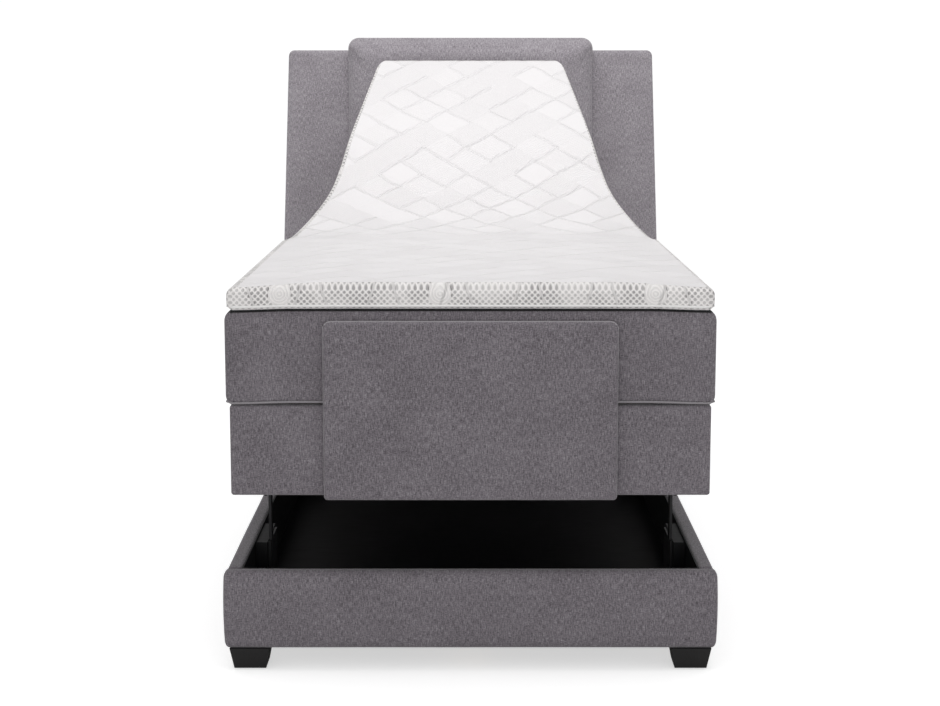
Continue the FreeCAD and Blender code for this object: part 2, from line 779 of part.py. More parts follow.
def lug(side, inside, outside, y0, y1):
    """A bearing plate from the pin at y0 to the tube at y1."""
    faces = span(side, inside, outside)
    low, high = sorted((y0, y1))
    plate = block(*faces, low, high, -6, 8)
    boss = rod("X", 12, *faces, y=y0)
    bore = rod("X", d.pin_radius + d.running_gap, *faces, y=y0)
    return cut(fuse(plate, boss), bore)


def rail_pair(middle, y0, y1):
    half = d.tube / 2
    return both_sides(lambda side: deck_tube(*span(side, middle - half, middle + half),
                                             y0, y1, "Y"))


def back_half_width(distance):
    """Half width of the tapered back rest at a distance from its hinge."""
    for (near, wide), (far, narrow) in zip(BACK_OUTLINE, BACK_OUTLINE[1:]):
        if distance <= far:
            return wide + (narrow - wide) * (distance - near) / (far - near)
    return BACK_OUTLINE[-1][1]


def make_back_frame():
    reach = d.outer_rail + d.tube / 2
    inside = d.inner_rail - d.tube / 2
    inner = d.inner_rail + d.tube / 2
    pieces = both_sides(lambda side: deck_tube(*span(side, inner - 1, reach), 30, 55, "X"))
    pieces.append(deck_tube(-inside - 1, inside + 1, 240, 265, "X"))
    pieces.append(deck_tube(-inner, inner, 820, 845, "X"))
    pieces += rail_pair(d.inner_rail, 30, 821)
    pieces += both_sides(lambda side: lug(side, 412, 420, 0, 31))
    where = {"y": along(d.back_hinge), "z": d.hinge_height, "tilt": d.back_rest_angle}
    finish(fuse(*pieces), "back_frame", **where)
    starts = [40 + 93.3 * index for index in range(9)]
    slats = slat_row(starts, 58, lambda distance: min(back_half_width(distance) - 12, 455))
    finish(group(*slats), "back_slats", **where)


def make_thigh_frame():
    reach = d.outer_rail + d.tube / 2
    inner = d.inner_rail + d.tube / 2
    pieces = both_sides(lambda side: deck_tube(*span(side, inner - 1, reach), -55, -30, "X"))
    pieces.append(deck_tube(-reach, reach, -270, -245, "X"))
    pieces += rail_pair(d.outer_rail, -246, -54)
    pieces += rail_pair(d.inner_rail, -246, -30)
    pieces += both_sides(lambda side: lug(side, 412, 420, 0, -31))
    for side in (-1, 1):
        faces = span(side, 402, 410)
        plate = block(*faces, -300, -269, -6, 8)
        boss = rod("X", 12, *faces, y=-d.knee_offset)
        pin = rod("X", d.pin_radius, *span(side, 402, 422), y=-d.knee_offset)
        pieces += [plate, boss, pin]
    where = {"y": along(d.thigh_hinge), "z": d.hinge_height}
    finish(fuse(*pieces), "thigh_frame", **where)
    finish(group(*slat_row((40, 114, 188), 58, lambda distance: 455, toward=-1)),
           "thigh_slats", **where)


CALF_GLIDE_AT = 540


def make_calf_frame():
    reach = d.outer_rail + d.tube / 2
    pieces = [deck_tube(-reach, reach, -55, -30, "X"), deck_tube(-reach, reach, -548, -523, "X")]
    pieces += rail_pair(d.outer_rail, -524, -54)
    pieces += both_sides(lambda side: lug(side, 412, 420, 0, -31))
    pieces += both_sides(lambda side: rod("X", 13.8, *span(side, 424, 437), y=-CALF_GLIDE_AT))
    where = {"y": along(d.thigh_hinge - d.knee_offset), "z": d.hinge_height}
    finish(fuse(*pieces), "calf_frame", **where)
    starts = [32 + 88 * index for index in range(6)]
    finish(group(*slat_row(starts, 58, lambda distance: 455, toward=-1)), "calf_slats", **where)


# ---------------------------------------------------------------- mattress and topper

layer_low = d.mattress_low - d.hinge_height
mattress_layer = (layer_low, layer_low + d.mattress_height, d.mattress_width / 2)
topper_low = layer_low + d.mattress_height + d.seam_gap
topper_layer = (topper_low, topper_low + d.topper_height, d.topper_width / 2)
END_GAP = 1


def wedge(near_angle, height):
    """Distance that an end set back by an angle stands from its hinge line at a height."""
    return height * tangent(near_angle) + END_GAP


def slab(layer, near_wedge, far, far_wedge=None, toward=1):
    """One section of a soft layer, with its ends set back so that it can fold."""
    low, high, half = layer
    far_low = far if far_wedge is None else far - wedge(far_wedge, low)
    far_high = far if far_wedge is None else far - wedge(far_wedge, high)
    points = [(toward * wedge(near_wedge, low), low), (toward * far_low, low),
              (toward * far_high, high), (toward * wedge(near_wedge, high), high)]
    return pad("YZ_Plane", points, half * 2, "slab")


def tapered_slab(layer, near_wedge, far, margin):
    """The back rest's layer: a slab kept within the tapering outline."""
    low, high, half = layer
    outline = [(width - margin, distance) for distance, width in BACK_OUTLINE]
    outline += [(-(width - margin), distance) for distance, width in reversed(BACK_OUTLINE)]
    keep = pad("XY_Plane", outline, 2 * high + 10, "outline")
    result = document.addObject("Part::Common", "layer")
    result.Base = slab(layer, near_wedge, far)
    result.Tool = keep
    return result


def make_soft_layers():
    back = {"y": along(d.back_hinge), "z": d.hinge_height, "tilt": d.back_rest_angle}
    thigh = {"y": along(d.thigh_hinge), "z": d.hinge_height}
    calf = {"y": along(d.thigh_hinge - d.knee_offset), "z": d.hinge_height}
    back_length = box_end - d.back_hinge
    seat_length = d.back_hinge - d.thigh_hinge
    calf_length = d.thigh_hinge - d.knee_offset - d.box_start
    for name, layer, margin in (("mattress", mattress_layer, 4), ("topper", topper_layer, 0)):
        finish(tapered_slab(layer, BACK_WEDGE, back_length, margin), f"{name}_back", **back)
        finish(slab(layer, SEAT_WEDGE, seat_length, SEAT_WEDGE), f"{name}_seat", **thigh)
        finish(slab(layer, THIGH_WEDGE, d.knee_offset - 1, toward=-1), f"{name}_thigh", **thigh)
        finish(slab(layer, 0, calf_length, FOOT_WEDGE, toward=-1), f"{name}_calf", **calf)


# ---------------------------------------------------------------- build, check and write

def check_and_write():
    document.recompute()
    for thing in document.Objects:
        if "Invalid" in thing.State or "Error" in thing.State:
            raise RuntimeError(f"{thing.Label} failed: {thing.State}")
    labels = [thing.Label for thing in nodes]
    if len(set(labels)) != len(labels):
        raise RuntimeError("two sub-parts share a name")
    os.makedirs("parts", exist_ok=True)
    for thing in nodes:
        if thing.Shape.isNull() or not thing.Shape.isValid():
            raise RuntimeError(f"{thing.Label} has no valid shape")
        thing.Shape.exportStep(f"parts/{thing.Label}.step")


make_storage_boards()
make_storage_inside()
make_feet()
make_lift_base()
make_headboard()
make_lift_arms()
make_gas_springs()
make_box_boards()
make_box_underside()
make_box_lift_plates()
make_front_panel()
make_deck_frame()
make_frame_brackets()
make_seat_slats()
make_drive_housing()
make_drive_inside()
make_sliders()
make_torsion_shafts()
make_back_frame()
make_thigh_frame()
make_calf_frame()
make_soft_layers()
check_and_write()
print(f"{len(nodes)} sub-parts written")
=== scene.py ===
import json
import math

import bpy
import numpy as np
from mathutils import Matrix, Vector


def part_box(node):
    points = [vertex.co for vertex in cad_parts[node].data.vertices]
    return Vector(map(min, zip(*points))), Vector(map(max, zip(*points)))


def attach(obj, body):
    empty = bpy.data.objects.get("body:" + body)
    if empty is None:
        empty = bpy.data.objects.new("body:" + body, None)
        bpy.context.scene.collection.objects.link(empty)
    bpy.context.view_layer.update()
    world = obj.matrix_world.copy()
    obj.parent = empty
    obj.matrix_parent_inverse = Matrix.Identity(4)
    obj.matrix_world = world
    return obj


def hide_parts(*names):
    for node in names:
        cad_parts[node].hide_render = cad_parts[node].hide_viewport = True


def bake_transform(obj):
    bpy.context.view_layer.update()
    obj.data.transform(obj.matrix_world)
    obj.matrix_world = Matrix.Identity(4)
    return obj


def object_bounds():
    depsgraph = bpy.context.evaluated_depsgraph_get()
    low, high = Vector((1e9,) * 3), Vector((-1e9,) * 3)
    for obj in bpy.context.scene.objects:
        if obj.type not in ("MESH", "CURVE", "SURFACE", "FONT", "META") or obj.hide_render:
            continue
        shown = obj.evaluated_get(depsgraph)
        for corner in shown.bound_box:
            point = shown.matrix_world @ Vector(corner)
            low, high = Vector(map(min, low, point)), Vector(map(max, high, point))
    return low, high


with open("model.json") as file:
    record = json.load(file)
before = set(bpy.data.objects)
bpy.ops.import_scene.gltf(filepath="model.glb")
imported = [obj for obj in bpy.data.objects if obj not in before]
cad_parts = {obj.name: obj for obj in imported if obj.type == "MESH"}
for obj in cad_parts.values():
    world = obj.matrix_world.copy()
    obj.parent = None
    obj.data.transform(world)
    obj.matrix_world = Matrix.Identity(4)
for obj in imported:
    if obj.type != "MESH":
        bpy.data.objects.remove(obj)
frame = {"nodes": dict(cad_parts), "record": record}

CAD_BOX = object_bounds()
NODES = frame["nodes"]

# ---------------------------------------------------------------- sizes, in metres

BACK_REST = math.radians(36.5)      # slope of the back rest in the rest pose
BEND_START = 0.985                  # bend zones, along the mattress from its foot end
BEND_END = 1.400
THIGH_BEND = (0.745, 0.975)
KNEE_BEND = (0.480, 0.700)
CUT_BACK = 0.980                    # where the soft layers are divided into pieces
CUT_KNEE = 0.735


def joint(name):
    """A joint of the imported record, by its name."""
    for entry in frame["record"]["behaviour"]["joints"]:
        if entry["name"] == name:
            return entry
    raise KeyError(name)


def node_box(name):
    low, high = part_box(name)
    return np.array(low), np.array(high)


HINGE = np.array(joint("back_tilt")["pos_m"])
MATTRESS_LOW, MATTRESS_HIGH = node_box("mattress_calf")
TOPPER_LOW, TOPPER_HIGH = node_box("topper_calf")
FOOT_END = node_box("front_panel")[1][1]
LENGTH = 2.0
MATTRESS_BULGE = 0.003              # how far its sides stand proud
TAPER_PLACES = (0, 1.06, 1.20, 1.31, 1.42, 1.51, 1.65, 1.82, 2.0)   # from the foot end
TAPER_HALVES = (0.498, 0.496, 0.474, 0.436, 0.390, 0.367, 0.341, 0.307, 0.270)
TAPER_SOFTENED = 0.05               # reach of the averaging that rounds the taper's corners
FOOT_CORNER = 0.016                 # corners of the soft layers, seen from above
HEAD_CORNER = 0.045
DROOP = 0.003                       # how far the layers hang at their sides
DROOP_FROM = 0.36                   # where across the bed that starts, and over what width
DROOP_WIDTH = 0.13
LOZENGE = (0.125, 0.105)            # quilting pattern across and along the topper
ROSETTES = (-0.388, -0.062, 0.376)
ROSETTE_RADIUS = 0.025
ROSETTE_HEIGHT = 0.009              # above the middle of the band
ROSETTE_REPEAT = 0.44               # between the motifs along the sides
PILLOW = 0.0012                     # depth of the quilting
CROWN = 0.008                       # how far the topper swells in its middle
CROWN_FLAT = 0.28                   # half width of the full swell, and the width of its fall
CROWN_FALL = 0.20
TOP_ZONE = 0.006                    # the quilting fades out over this height
BAND_OVER = 0.004                   # how far the band reaches over the topper's upper edge
SEAM_CORNER = 0.014                 # where the piping leaves out the layer's corners
CORNER_ANGLES = np.radians((45, 34, 23, 12))
STORAGE_ROUND = np.array((0.009, 0.010, 0.016))
STORAGE_RAIL_ROUND = 0.007
STORAGE_RAIL_SWELL = 0.003
BOX_RAIL_ROUND = 0.006
BOX_RAIL_SWELL = 0.002
FOLD_RUN = 0.075                    # length of the folds at the storage front's upper corners
FOLD_HALF = 0.007
FOLD_DEPTH = 0.0035
FOLD_LAYER = 0.012                  # how deep behind the front's face points are folded
PANEL_CORNER = 0.016                # upper corners of the front panel
RIM_INSET = 0.0012
RIM_RADIUS = 0.0016
RIM_BEHIND = 0.0065                 # the rim lies this far behind the panel's face
SHOULDER_HEIGHT = 0.700             # the headboard narrows from here up
HEADBOARD_TOP_HALF = 0.5815
CUSHION_BACK = 0.026                # thickness at the cushion's rear that keeps its shape
TINY = 1e-9
WORLD_LIGHT = 0.60


# ---------------------------------------------------------------- material building

class Graph:
    """A short way to write a node material.

    flat says which coordinates it reads: None the object's own, "flat" and "top" those of the
    layer before it was bent, and "band" those round the layer's edge.
    """

    def __init__(self, name, flat=None):
        self.flat = flat
        self.material = bpy.data.materials.new(name)
        self.material.use_nodes = True
        self.tree = self.material.node_tree
        self.shader = self.tree.nodes["Principled BSDF"]

    def put(self, value, socket):
        """Link a socket, or set the value on it."""
        if isinstance(value, bpy.types.NodeSocket):
            self.tree.links.new(value, socket)
        else:
            socket.default_value = value

    def node(self, kind, **settings):
        made = self.tree.nodes.new(kind)
        for name, value in settings.items():
            setattr(made, name, value)
        return made

    def math(self, operation, first, second=0.5):
        """A Math node; operations on one number leave the second one unused."""
        made = self.node("ShaderNodeMath", operation=operation)
        self.put(first, made.inputs[0])
        self.put(second, made.inputs[1])
        return made.outputs[0]

    def between(self, factor, low, high):
        """A number that runs from low to high with a factor from 0 to 1."""
        made = self.node("ShaderNodeMapRange")
        self.put(factor, made.inputs["Value"])
        self.put(low, made.inputs["To Min"])
        self.put(high, made.inputs["To Max"])
        return made.outputs[0]

    def step(self, value, low, high):
        """0 below low and 1 above high, smooth between."""
        made = self.node("ShaderNodeMapRange", interpolation_type="SMOOTHSTEP")
        self.put(value, made.inputs["Value"])
        self.put(low, made.inputs["From Min"])
        self.put(high, made.inputs["From Max"])
        return made.outputs[0]

    def colours(self, factor, *stops):
        """A colour ramp through (position, (red, green, blue)) stops."""
        made = self.node("ShaderNodeValToRGB")
        ramp = made.color_ramp
        while len(ramp.elements) < len(stops):
            ramp.elements.new(0.5)
        for element, (position, colour) in zip(ramp.elements, stops):
            element.position = position
            element.color = (*colour, 1)
        self.put(factor, made.inputs[0])
        return made.outputs[0]

    def spot(self):
        """Coordinates in metres: the object's, or those kept on the mesh before it was bent."""
        if self.flat:
            kept = "band" if self.flat == "band" else "flat"
            return self.node("ShaderNodeAttribute", attribute_name=kept).outputs["Vector"]
        return self.node("ShaderNodeTexCoord").outputs["Object"]

    def place(self, scale=(1, 1, 1)):
        """The coordinates times a scale."""
        source = self.spot()
        made = self.node("ShaderNodeMapping")
        self.put(source, made.inputs["Vector"])
        made.inputs["Scale"].default_value = scale
        return made.outputs[0]

    def noise(self, vector, scale, detail=2, roughness=0.5):
        made = self.node("ShaderNodeTexNoise")
        self.put(vector, made.inputs["Vector"])
        made.inputs["Scale"].default_value = scale
        made.inputs["Detail"].default_value = detail
        made.inputs["Roughness"].default_value = roughness
        return made.outputs["Fac"]

    def faces(self):
        """Two coordinates that lie in a face, in metres, chosen by the way it looks."""
        spot = self.node("ShaderNodeSeparateXYZ")
        self.put(self.spot(), spot.inputs[0])
        if self.flat in ("band", "top"):
            return spot.outputs[0], spot.outputs[1]
        facing = self.node("ShaderNodeSeparateXYZ")
        self.put(self.node("ShaderNodeNewGeometry").outputs["Normal"], facing.inputs[0])
        side = self.math("GREATER_THAN", self.math("ABSOLUTE", facing.outputs[0]), 0.7)
        top = self.math("GREATER_THAN", self.math("ABSOLUTE", facing.outputs[2]), 0.7)
        if self.flat:
            top = 0.0
        across = self.between(side, spot.outputs[0], spot.outputs[1])
        along = self.between(top, spot.outputs[2], spot.outputs[1])
        return across, along

    def vector(self, across, along, third=0.0):
        made = self.node("ShaderNodeCombineXYZ")
        self.put(across, made.inputs[0])
        self.put(along, made.inputs[1])
        self.put(third, made.inputs[2])
        return made.outputs[0]

    def bump(self, height, distance, strength=1.0, below=None):
        made = self.node("ShaderNodeBump")
        self.put(height, made.inputs["Height"])
        made.inputs["Distance"].default_value = distance
        made.inputs["Strength"].default_value = strength
        if below is not None:
            self.put(below, made.inputs["Normal"])
        return made.outputs[0]

    def surface(self, colour, roughness, normal=None, **sockets):
        """Connect the shader; other sockets by their names, spaces as underscores."""
        self.put(colour, self.shader.inputs["Base Color"])
        self.put(roughness, self.shader.inputs["Roughness"])
        if normal is not None:
            self.put(normal, self.shader.inputs["Normal"])
        for name, value in sockets.items():
            self.put(value, self.shader.inputs[name.replace("_", " ")])
        return self.material


def woven_fabric(name, dark, middle, light, flat=None, thread=0.0011):
    """Heathered furniture weave: slub threads both ways, flecks and a fine nap."""
    g = Graph(name, flat)
    across, along = g.faces()
    ripple = g.noise(g.place(), 60, 2)
    waver = g.math("MULTIPLY", g.math("SUBTRACT", ripple, 0.5), thread)
    turns = math.pi / thread
    weft = g.math("SINE", g.math("MULTIPLY", g.math("ADD", along, waver), turns))
    warp = g.math("SINE", g.math("MULTIPLY", g.math("ADD", across, waver), turns))
    weave = g.between(g.math("MULTIPLY", weft, warp), 0.5, 1.0)
    lying = g.noise(g.vector(g.math("MULTIPLY", across, 0.2), along), 640, 2, 0.6)
    standing = g.noise(g.vector(across, g.math("MULTIPLY", along, 0.14), 3.0), 560, 2, 0.6)
    slub = g.math("ADD", g.math("MULTIPLY", lying, 0.42), g.math("MULTIPLY", standing, 0.58))
    fleck = g.noise(g.place(), 420, 3, 0.7)
    cloud = g.noise(g.place(), 9, 3, 0.6)
    tone = g.math("ADD", g.math("MULTIPLY", slub, 0.62), g.math("MULTIPLY", fleck, 0.30))
    tone = g.math("ADD", tone, g.math("MULTIPLY", cloud, 0.08))
    colour = g.colours(tone, (0.38, dark), (0.50, middle), (0.63, light))
    fine = g.bump(weave, 0.0003, 0.35)
    knobs = g.bump(slub, 0.0010, 0.45, below=fine)
    soft = g.bump(cloud, 0.004, 0.25, below=knobs)
    rough = g.between(slub, 0.95, 0.78)
    return g.surface(colour, rough, soft, Sheen_Weight=0.25, Sheen_Roughness=0.5,
                     Specular_IOR_Level=0.2)


def painted_steel(name, colour, worn):
    """Powder coat with orange peel, slightly lighter where it is rubbed."""
    g = Graph(name)
    peel = g.noise(g.place(), 900, 2)
    rub = g.noise(g.place(), 14, 4, 0.65)
    shade = g.colours(rub, (0.35, colour), (0.75, worn))
    rough = g.between(rub, 0.38, 0.55)
    return g.surface(shade, rough, g.bump(peel, 0.0003, 0.5), Specular_IOR_Level=0.3)


def bright_steel(name):
    """Drawn steel with fine marks along Y."""
    g = Graph(name)
    drawn = g.noise(g.place((900, 40, 900)), 1.0, 3)
    shade = g.colours(drawn, (0.3, (0.42, 0.42, 0.44)), (0.7, (0.62, 0.62, 0.64)))
    rough = g.between(drawn, 0.18, 0.34)
    return g.surface(shade, rough, g.bump(drawn, 0.0001, 0.3), Metallic=1.0)


def timber(name, dark, light, rough_low=0.5, rough_high=0.7, stretch=(1, 14, 14)):
    """Wood with grain along X."""
    g = Graph(name)
    figure = g.noise(g.place(stretch), 7, 5, 0.6)
    rings = g.math("FRACT", g.math("MULTIPLY", figure, 9.0))
    pores = g.noise(g.place((20, 500, 500)), 1.0, 2)
    tone = g.math("ADD", g.math("MULTIPLY", rings, 0.45), g.math("MULTIPLY", pores, 0.55))
    shade = g.colours(tone, (0.25, dark), (0.8, light))
    rough = g.between(pores, rough_low, rough_high)
    return g.surface(shade, rough, g.bump(tone, 0.0004, 0.4), Specular_IOR_Level=0.4)


def moulded_plastic(name, colour, lighter):
    """Plastic with the spark texture of its mould."""
    g = Graph(name)
    spark = g.noise(g.place(), 1500, 2)
    shade = g.colours(g.noise(g.place(), 25, 3), (0.3, colour), (0.8, lighter))
    rough = g.between(spark, 0.42, 0.6)
    return g.surface(shade, rough, g.bump(spark, 0.0002, 0.6))


def black_board(name):
    """Black melamine board with a faint grain and dust."""
    g = Graph(name)
    grain = g.noise(g.place((3, 60, 60)), 6, 4, 0.6)
    dust = g.noise(g.place(), 5, 4, 0.7)
    shade = g.colours(dust, (0.4, (0.0015, 0.0015, 0.0022)), (0.9, (0.005, 0.005, 0.006)))
    rough = g.between(grain, 0.42, 0.62)
    return g.surface(shade, rough, g.bump(grain, 0.0003, 0.3), Specular_IOR_Level=0.2)


def dust_cloth(name):
    """Black non-woven cloth with its pressed dimples."""
    g = Graph(name)
    across, along = g.faces()
    dimples = 1500
    dots = g.math("MULTIPLY", g.math("SINE", g.math("MULTIPLY", across, dimples)),
                  g.math("SINE", g.math("MULTIPLY", along, dimples)))
    fibre = g.noise(g.place(), 700, 4, 0.7)
    shade = g.colours(fibre, (0.3, (0.006, 0.006, 0.007)), (0.8, (0.016, 0.016, 0.017)))
    rough = g.between(fibre, 0.8, 0.95)
    return g.surface(shade, rough, g.bump(dots, 0.0005, 0.6))


def felt(name):
    """Dark pressed fibres."""
    g = Graph(name)
    fibre = g.noise(g.place(), 1100, 5, 0.8)
    shade = g.colours(fibre, (0.3, (0.02, 0.02, 0.02)), (0.8, (0.07, 0.07, 0.07)))
    return g.surface(shade, g.between(fibre, 0.85, 1.0), g.bump(fibre, 0.0008, 0.8))


def quilt_cells(g, across, along):
    """Lozenge cells of the quilting: a random number per cell, and the place across each way."""
    wide, tall = LOZENGE
    cell_u = g.math("ADD", g.math("DIVIDE", across, wide), g.math("DIVIDE", along, tall))
    cell_v = g.math("SUBTRACT", g.math("DIVIDE", across, wide), g.math("DIVIDE", along, tall))
    choice = g.node("ShaderNodeTexWhiteNoise", noise_dimensions="2D")
    g.put(g.vector(g.math("FLOOR", cell_u), g.math("FLOOR", cell_v)), choice.inputs["Vector"])
    edge_u = g.math("SUBTRACT", g.math("FRACT", cell_u), 0.5)
    edge_v = g.math("SUBTRACT", g.math("FRACT", cell_v), 0.5)
    return choice.outputs["Value"], edge_u, edge_v


def honeycomb(g, across, along, pitch):
    """0 to 1 in staggered round spots."""
    turns = math.pi / pitch
    first = g.math("SINE", g.math("MULTIPLY", g.math("ADD", across, along), turns))
    second = g.math("SINE", g.math("MULTIPLY", g.math("SUBTRACT", across, along), turns))
    return g.math("ABSOLUTE", g.math("MULTIPLY", first, second))


def quilted_knit(name):
    """Jacquard knit: fine stitches, and lozenges that are plain, ribbed or dimpled."""
    g = Graph(name, "top")
    dot_pitch, rib_pitch, ladder_pitch = 0.0085, 0.0095, 0.007
    share_ribbed, share_plain, share_sewn = 0.44, 0.66, 0.66
    across, along = g.faces()
    fine = g.noise(g.place(), 800, 2, 0.6)
    drift = g.math("MULTIPLY", g.math("SUBTRACT", g.noise(g.place(), 11, 2), 0.5), 0.034)
    across = g.math("ADD", across, drift)
    dots = honeycomb(g, across, along, dot_pitch)
    pick, edge_u, edge_v = quilt_cells(g, across, along)
    way = g.between(g.math("GREATER_THAN", pick, 0.22), 0.8, -0.8)
    slant = g.math("ADD", along, g.math("MULTIPLY", across, way))
    ribs = g.math("SINE", g.math("MULTIPLY", slant, 2 * math.pi / rib_pitch))
    ladder = g.math("SINE", g.math("MULTIPLY", g.math("SUBTRACT", across, along),
                                   2 * math.pi / ladder_pitch))
    groove = rope = 0.0
    other_pick = g.math("FRACT", g.math("MULTIPLY", pick, 7.3))
    for edge, chance in ((edge_u, pick), (edge_v, other_pick)):
        present = g.math("LESS_THAN", chance, share_sewn)
        sewn = g.step(edge, 0.455, 0.488)
        raised_edge = g.math("SUBTRACT", g.step(edge, 0.370, 0.400), g.step(edge, 0.435, 0.460))
        groove = g.math("MAXIMUM", g.math("MULTIPLY", sewn, present), groove)
        rope = g.math("MAXIMUM", g.math("MULTIPLY", raised_edge, present), rope)
    rope = g.math("MULTIPLY", rope, g.between(ladder, 0.5, 1.0))
    ribbed = g.math("MULTIPLY", g.math("LESS_THAN", pick, share_ribbed), ribs)
    dotted = g.math("MULTIPLY", g.math("GREATER_THAN", pick, share_plain), dots)
    relief = g.math("SUBTRACT", g.math("MULTIPLY", ribbed, 0.22), g.math("MULTIPLY", dotted, 0.5))
    relief = g.math("ADD", relief, g.math("SUBTRACT", g.math("MULTIPLY", rope, 1.2),
                                          g.math("MULTIPLY", groove, 0.5)))
    # The relief also tints the colour: painted shade in the sewn grooves and dimpled lozenges,
    # painted highlight on the raised rope edges, and light and dark stripes along the ribs.
    tone = g.math("ADD", g.math("MULTIPLY", fine, 0.35), g.math("MULTIPLY", relief, 0.11))
    shade = g.colours(g.math("ADD", tone, 0.2),
                      (0.0, (0.56, 0.545, 0.55)), (0.34, (0.785, 0.765, 0.772)),
                      (0.60, (0.865, 0.848, 0.854)))
    cloud = g.noise(g.place(), 45, 3)
    surface = g.bump(cloud, 0.0025, 0.3, below=g.bump(fine, 0.0003, 0.5))
    raised = g.bump(relief, 0.0018, 0.8, below=surface)
    return g.surface(shade, g.between(fine, 0.8, 0.95), raised, Sheen_Weight=0.10,
                     Specular_IOR_Level=0.2)


def rosette(g, aside, height):
    """A round sewn motif: where it is, and its concentric ridges."""
    rise = g.math("SUBTRACT", height, ROSETTE_HEIGHT)
    radius = g.math("SQRT", g.math("ADD", g.math("MULTIPLY", aside, aside),
                                   g.math("MULTIPLY", rise, rise)))
    inside = g.math("SUBTRACT", 1.0, g.step(radius, ROSETTE_RADIUS - 0.002, ROSETTE_RADIUS))
    ring_pitch = 0.0058
    rings = g.math("SINE", g.math("MULTIPLY", radius, 2 * math.pi / ring_pitch))
    return inside, g.math("MULTIPLY", inside, g.between(g.math("ADD", rings, 0.5), 0.5, 1.0))


def dimpled_band(name):
    """The topper's side band: honeycomb dimples, zigzag lines and round motifs."""
    g = Graph(name, "band")
    around, height = g.faces()
    pit_pitch, zigzag_pitch, zigzag_lean = 0.0125, 0.148, 0.37
    field = g.noise(g.place(), 11, 1)
    pits = g.step(honeycomb(g, around, height, pit_pitch), 0.12, 1.0)
    pits = g.math("MULTIPLY", pits, g.between(g.step(field, 0.42, 0.58), 0.6, 1.0))
    lean = g.math("MULTIPLY", height, zigzag_lean)
    lines = []
    for way, start in ((1, -0.4446), (-1, -0.3526)):
        place = g.math("ADD", g.math("SUBTRACT", around, start), g.math("MULTIPLY", lean, way))
        place = g.math("FRACT", g.math("ADD", g.math("DIVIDE", place, zigzag_pitch), 40.5))
        lines.append(g.math("SUBTRACT", 1.0, g.step(
            g.math("ABSOLUTE", g.math("SUBTRACT", place, 0.5)), 0.008, 0.030)))
    line = g.math("MAXIMUM", *lines)
    distance = g.math("ABSOLUTE", around)
    repeat = g.math("SUBTRACT", g.math("MODULO", distance, ROSETTE_REPEAT), ROSETTE_REPEAT / 2)
    asides = [g.math("SUBTRACT", around, centre) for centre in ROSETTES]
    asides.append(g.math("ADD", repeat, g.math("LESS_THAN", distance, 0.52)))
    clear = ridges = 0.0
    for aside in asides:
        inside, rings = rosette(g, aside, height)
        clear = g.math("MAXIMUM", inside, clear)
        ridges = g.math("MAXIMUM", rings, ridges)
    pits = g.math("MULTIPLY", pits, g.math("SUBTRACT", 1.0, g.math("MAXIMUM", line, clear)))
    fine = g.noise(g.place(), 900, 2)
    # The colour follows the relief: painted shade in the honeycomb dimples, along the zigzag lines
    # and between the rosettes' raised rings.
    tone = g.math("ADD", g.math("MULTIPLY", pits, 0.7), g.math("MULTIPLY", fine, 0.2))
    tone = g.math("ADD", tone, g.math("MULTIPLY", g.math("SUBTRACT", clear, ridges), 0.30))
    tone = g.math("ADD", tone, g.math("MULTIPLY", line, 0.30))
    shade = g.colours(tone, (0.05, (0.84, 0.815, 0.805)), (0.8, (0.36, 0.35, 0.35)))
    low = g.bump(pits, -0.003, 0.9, below=g.bump(fine, 0.0003, 0.4))
    raised = g.bump(g.math("ADD", g.math("MULTIPLY", line, 0.5), ridges), 0.0018, 0.8, below=low)
    return g.surface(shade, g.between(fine, 0.8, 0.95), raised, Sheen_Weight=0.15,
                     Specular_IOR_Level=0.2)


def binding_tape(name, dark, light, flat="flat"):
    """Narrow woven tape over a seam."""
    g = Graph(name, flat)
    across, along = g.faces()
    twill_pitch = 0.0012
    twill = g.math("SINE", g.math("MULTIPLY", g.math("ADD", across, along),
                                  2 * math.pi / twill_pitch))
    fine = g.noise(g.place(), 1200, 2)
    shade = g.colours(fine, (0.3, dark), (0.7, light))
    return g.surface(shade, g.between(fine, 0.75, 0.9), g.bump(twill, 0.0003, 0.5),
                     Sheen_Weight=0.15, Specular_IOR_Level=0.2)


WEAVE_COLOURS = ((0.060, 0.053, 0.060), (0.145, 0.130, 0.145), (0.290, 0.270, 0.290))
GREY = woven_fabric("grey_weave", *WEAVE_COLOURS)
MATTRESS_WEAVE = woven_fabric("mattress_weave", *WEAVE_COLOURS, flat="flat")
# The same grey weave as the box, made about twice as light: painted light on the headboard panel
# and its cushion.
PAINTED_LIGHT_HEADBOARD_WEAVE = woven_fabric("headboard_weave_painted_light", (0.155, 0.140, 0.154), (0.315, 0.289, 0.315),
                               (0.580, 0.548, 0.580))
# Dark cloth for the mattress's hidden top and underside. It also covers a thin strip of the rounded
# edges as painted shadow in the gaps to the topper and to the box.
ANTI_SLIP_AND_GAP_SHADOW_CLOTH = dust_cloth("mattress_anti_slip_cloth_and_painted_gap_shadow")
TOP_KNIT = quilted_knit("topper_knit")
BAND_KNIT = dimpled_band("topper_band")
TOPPER_TAPE = binding_tape("topper_tape", (0.80, 0.79, 0.78), (0.92, 0.91, 0.90))
MATTRESS_TAPE = binding_tape("mattress_tape", (0.20, 0.19, 0.20), (0.34, 0.32, 0.34))
# Tape of the front panel's rim piping, lighter than the cover. The piping bead is real; its lighter
# colour is a painted highlight along the panel's rounded edge.
PANEL_RIM_HIGHLIGHT_TAPE = binding_tape("panel_rim_tape_painted_highlight", (0.26, 0.245, 0.26), (0.42, 0.40, 0.42), None)
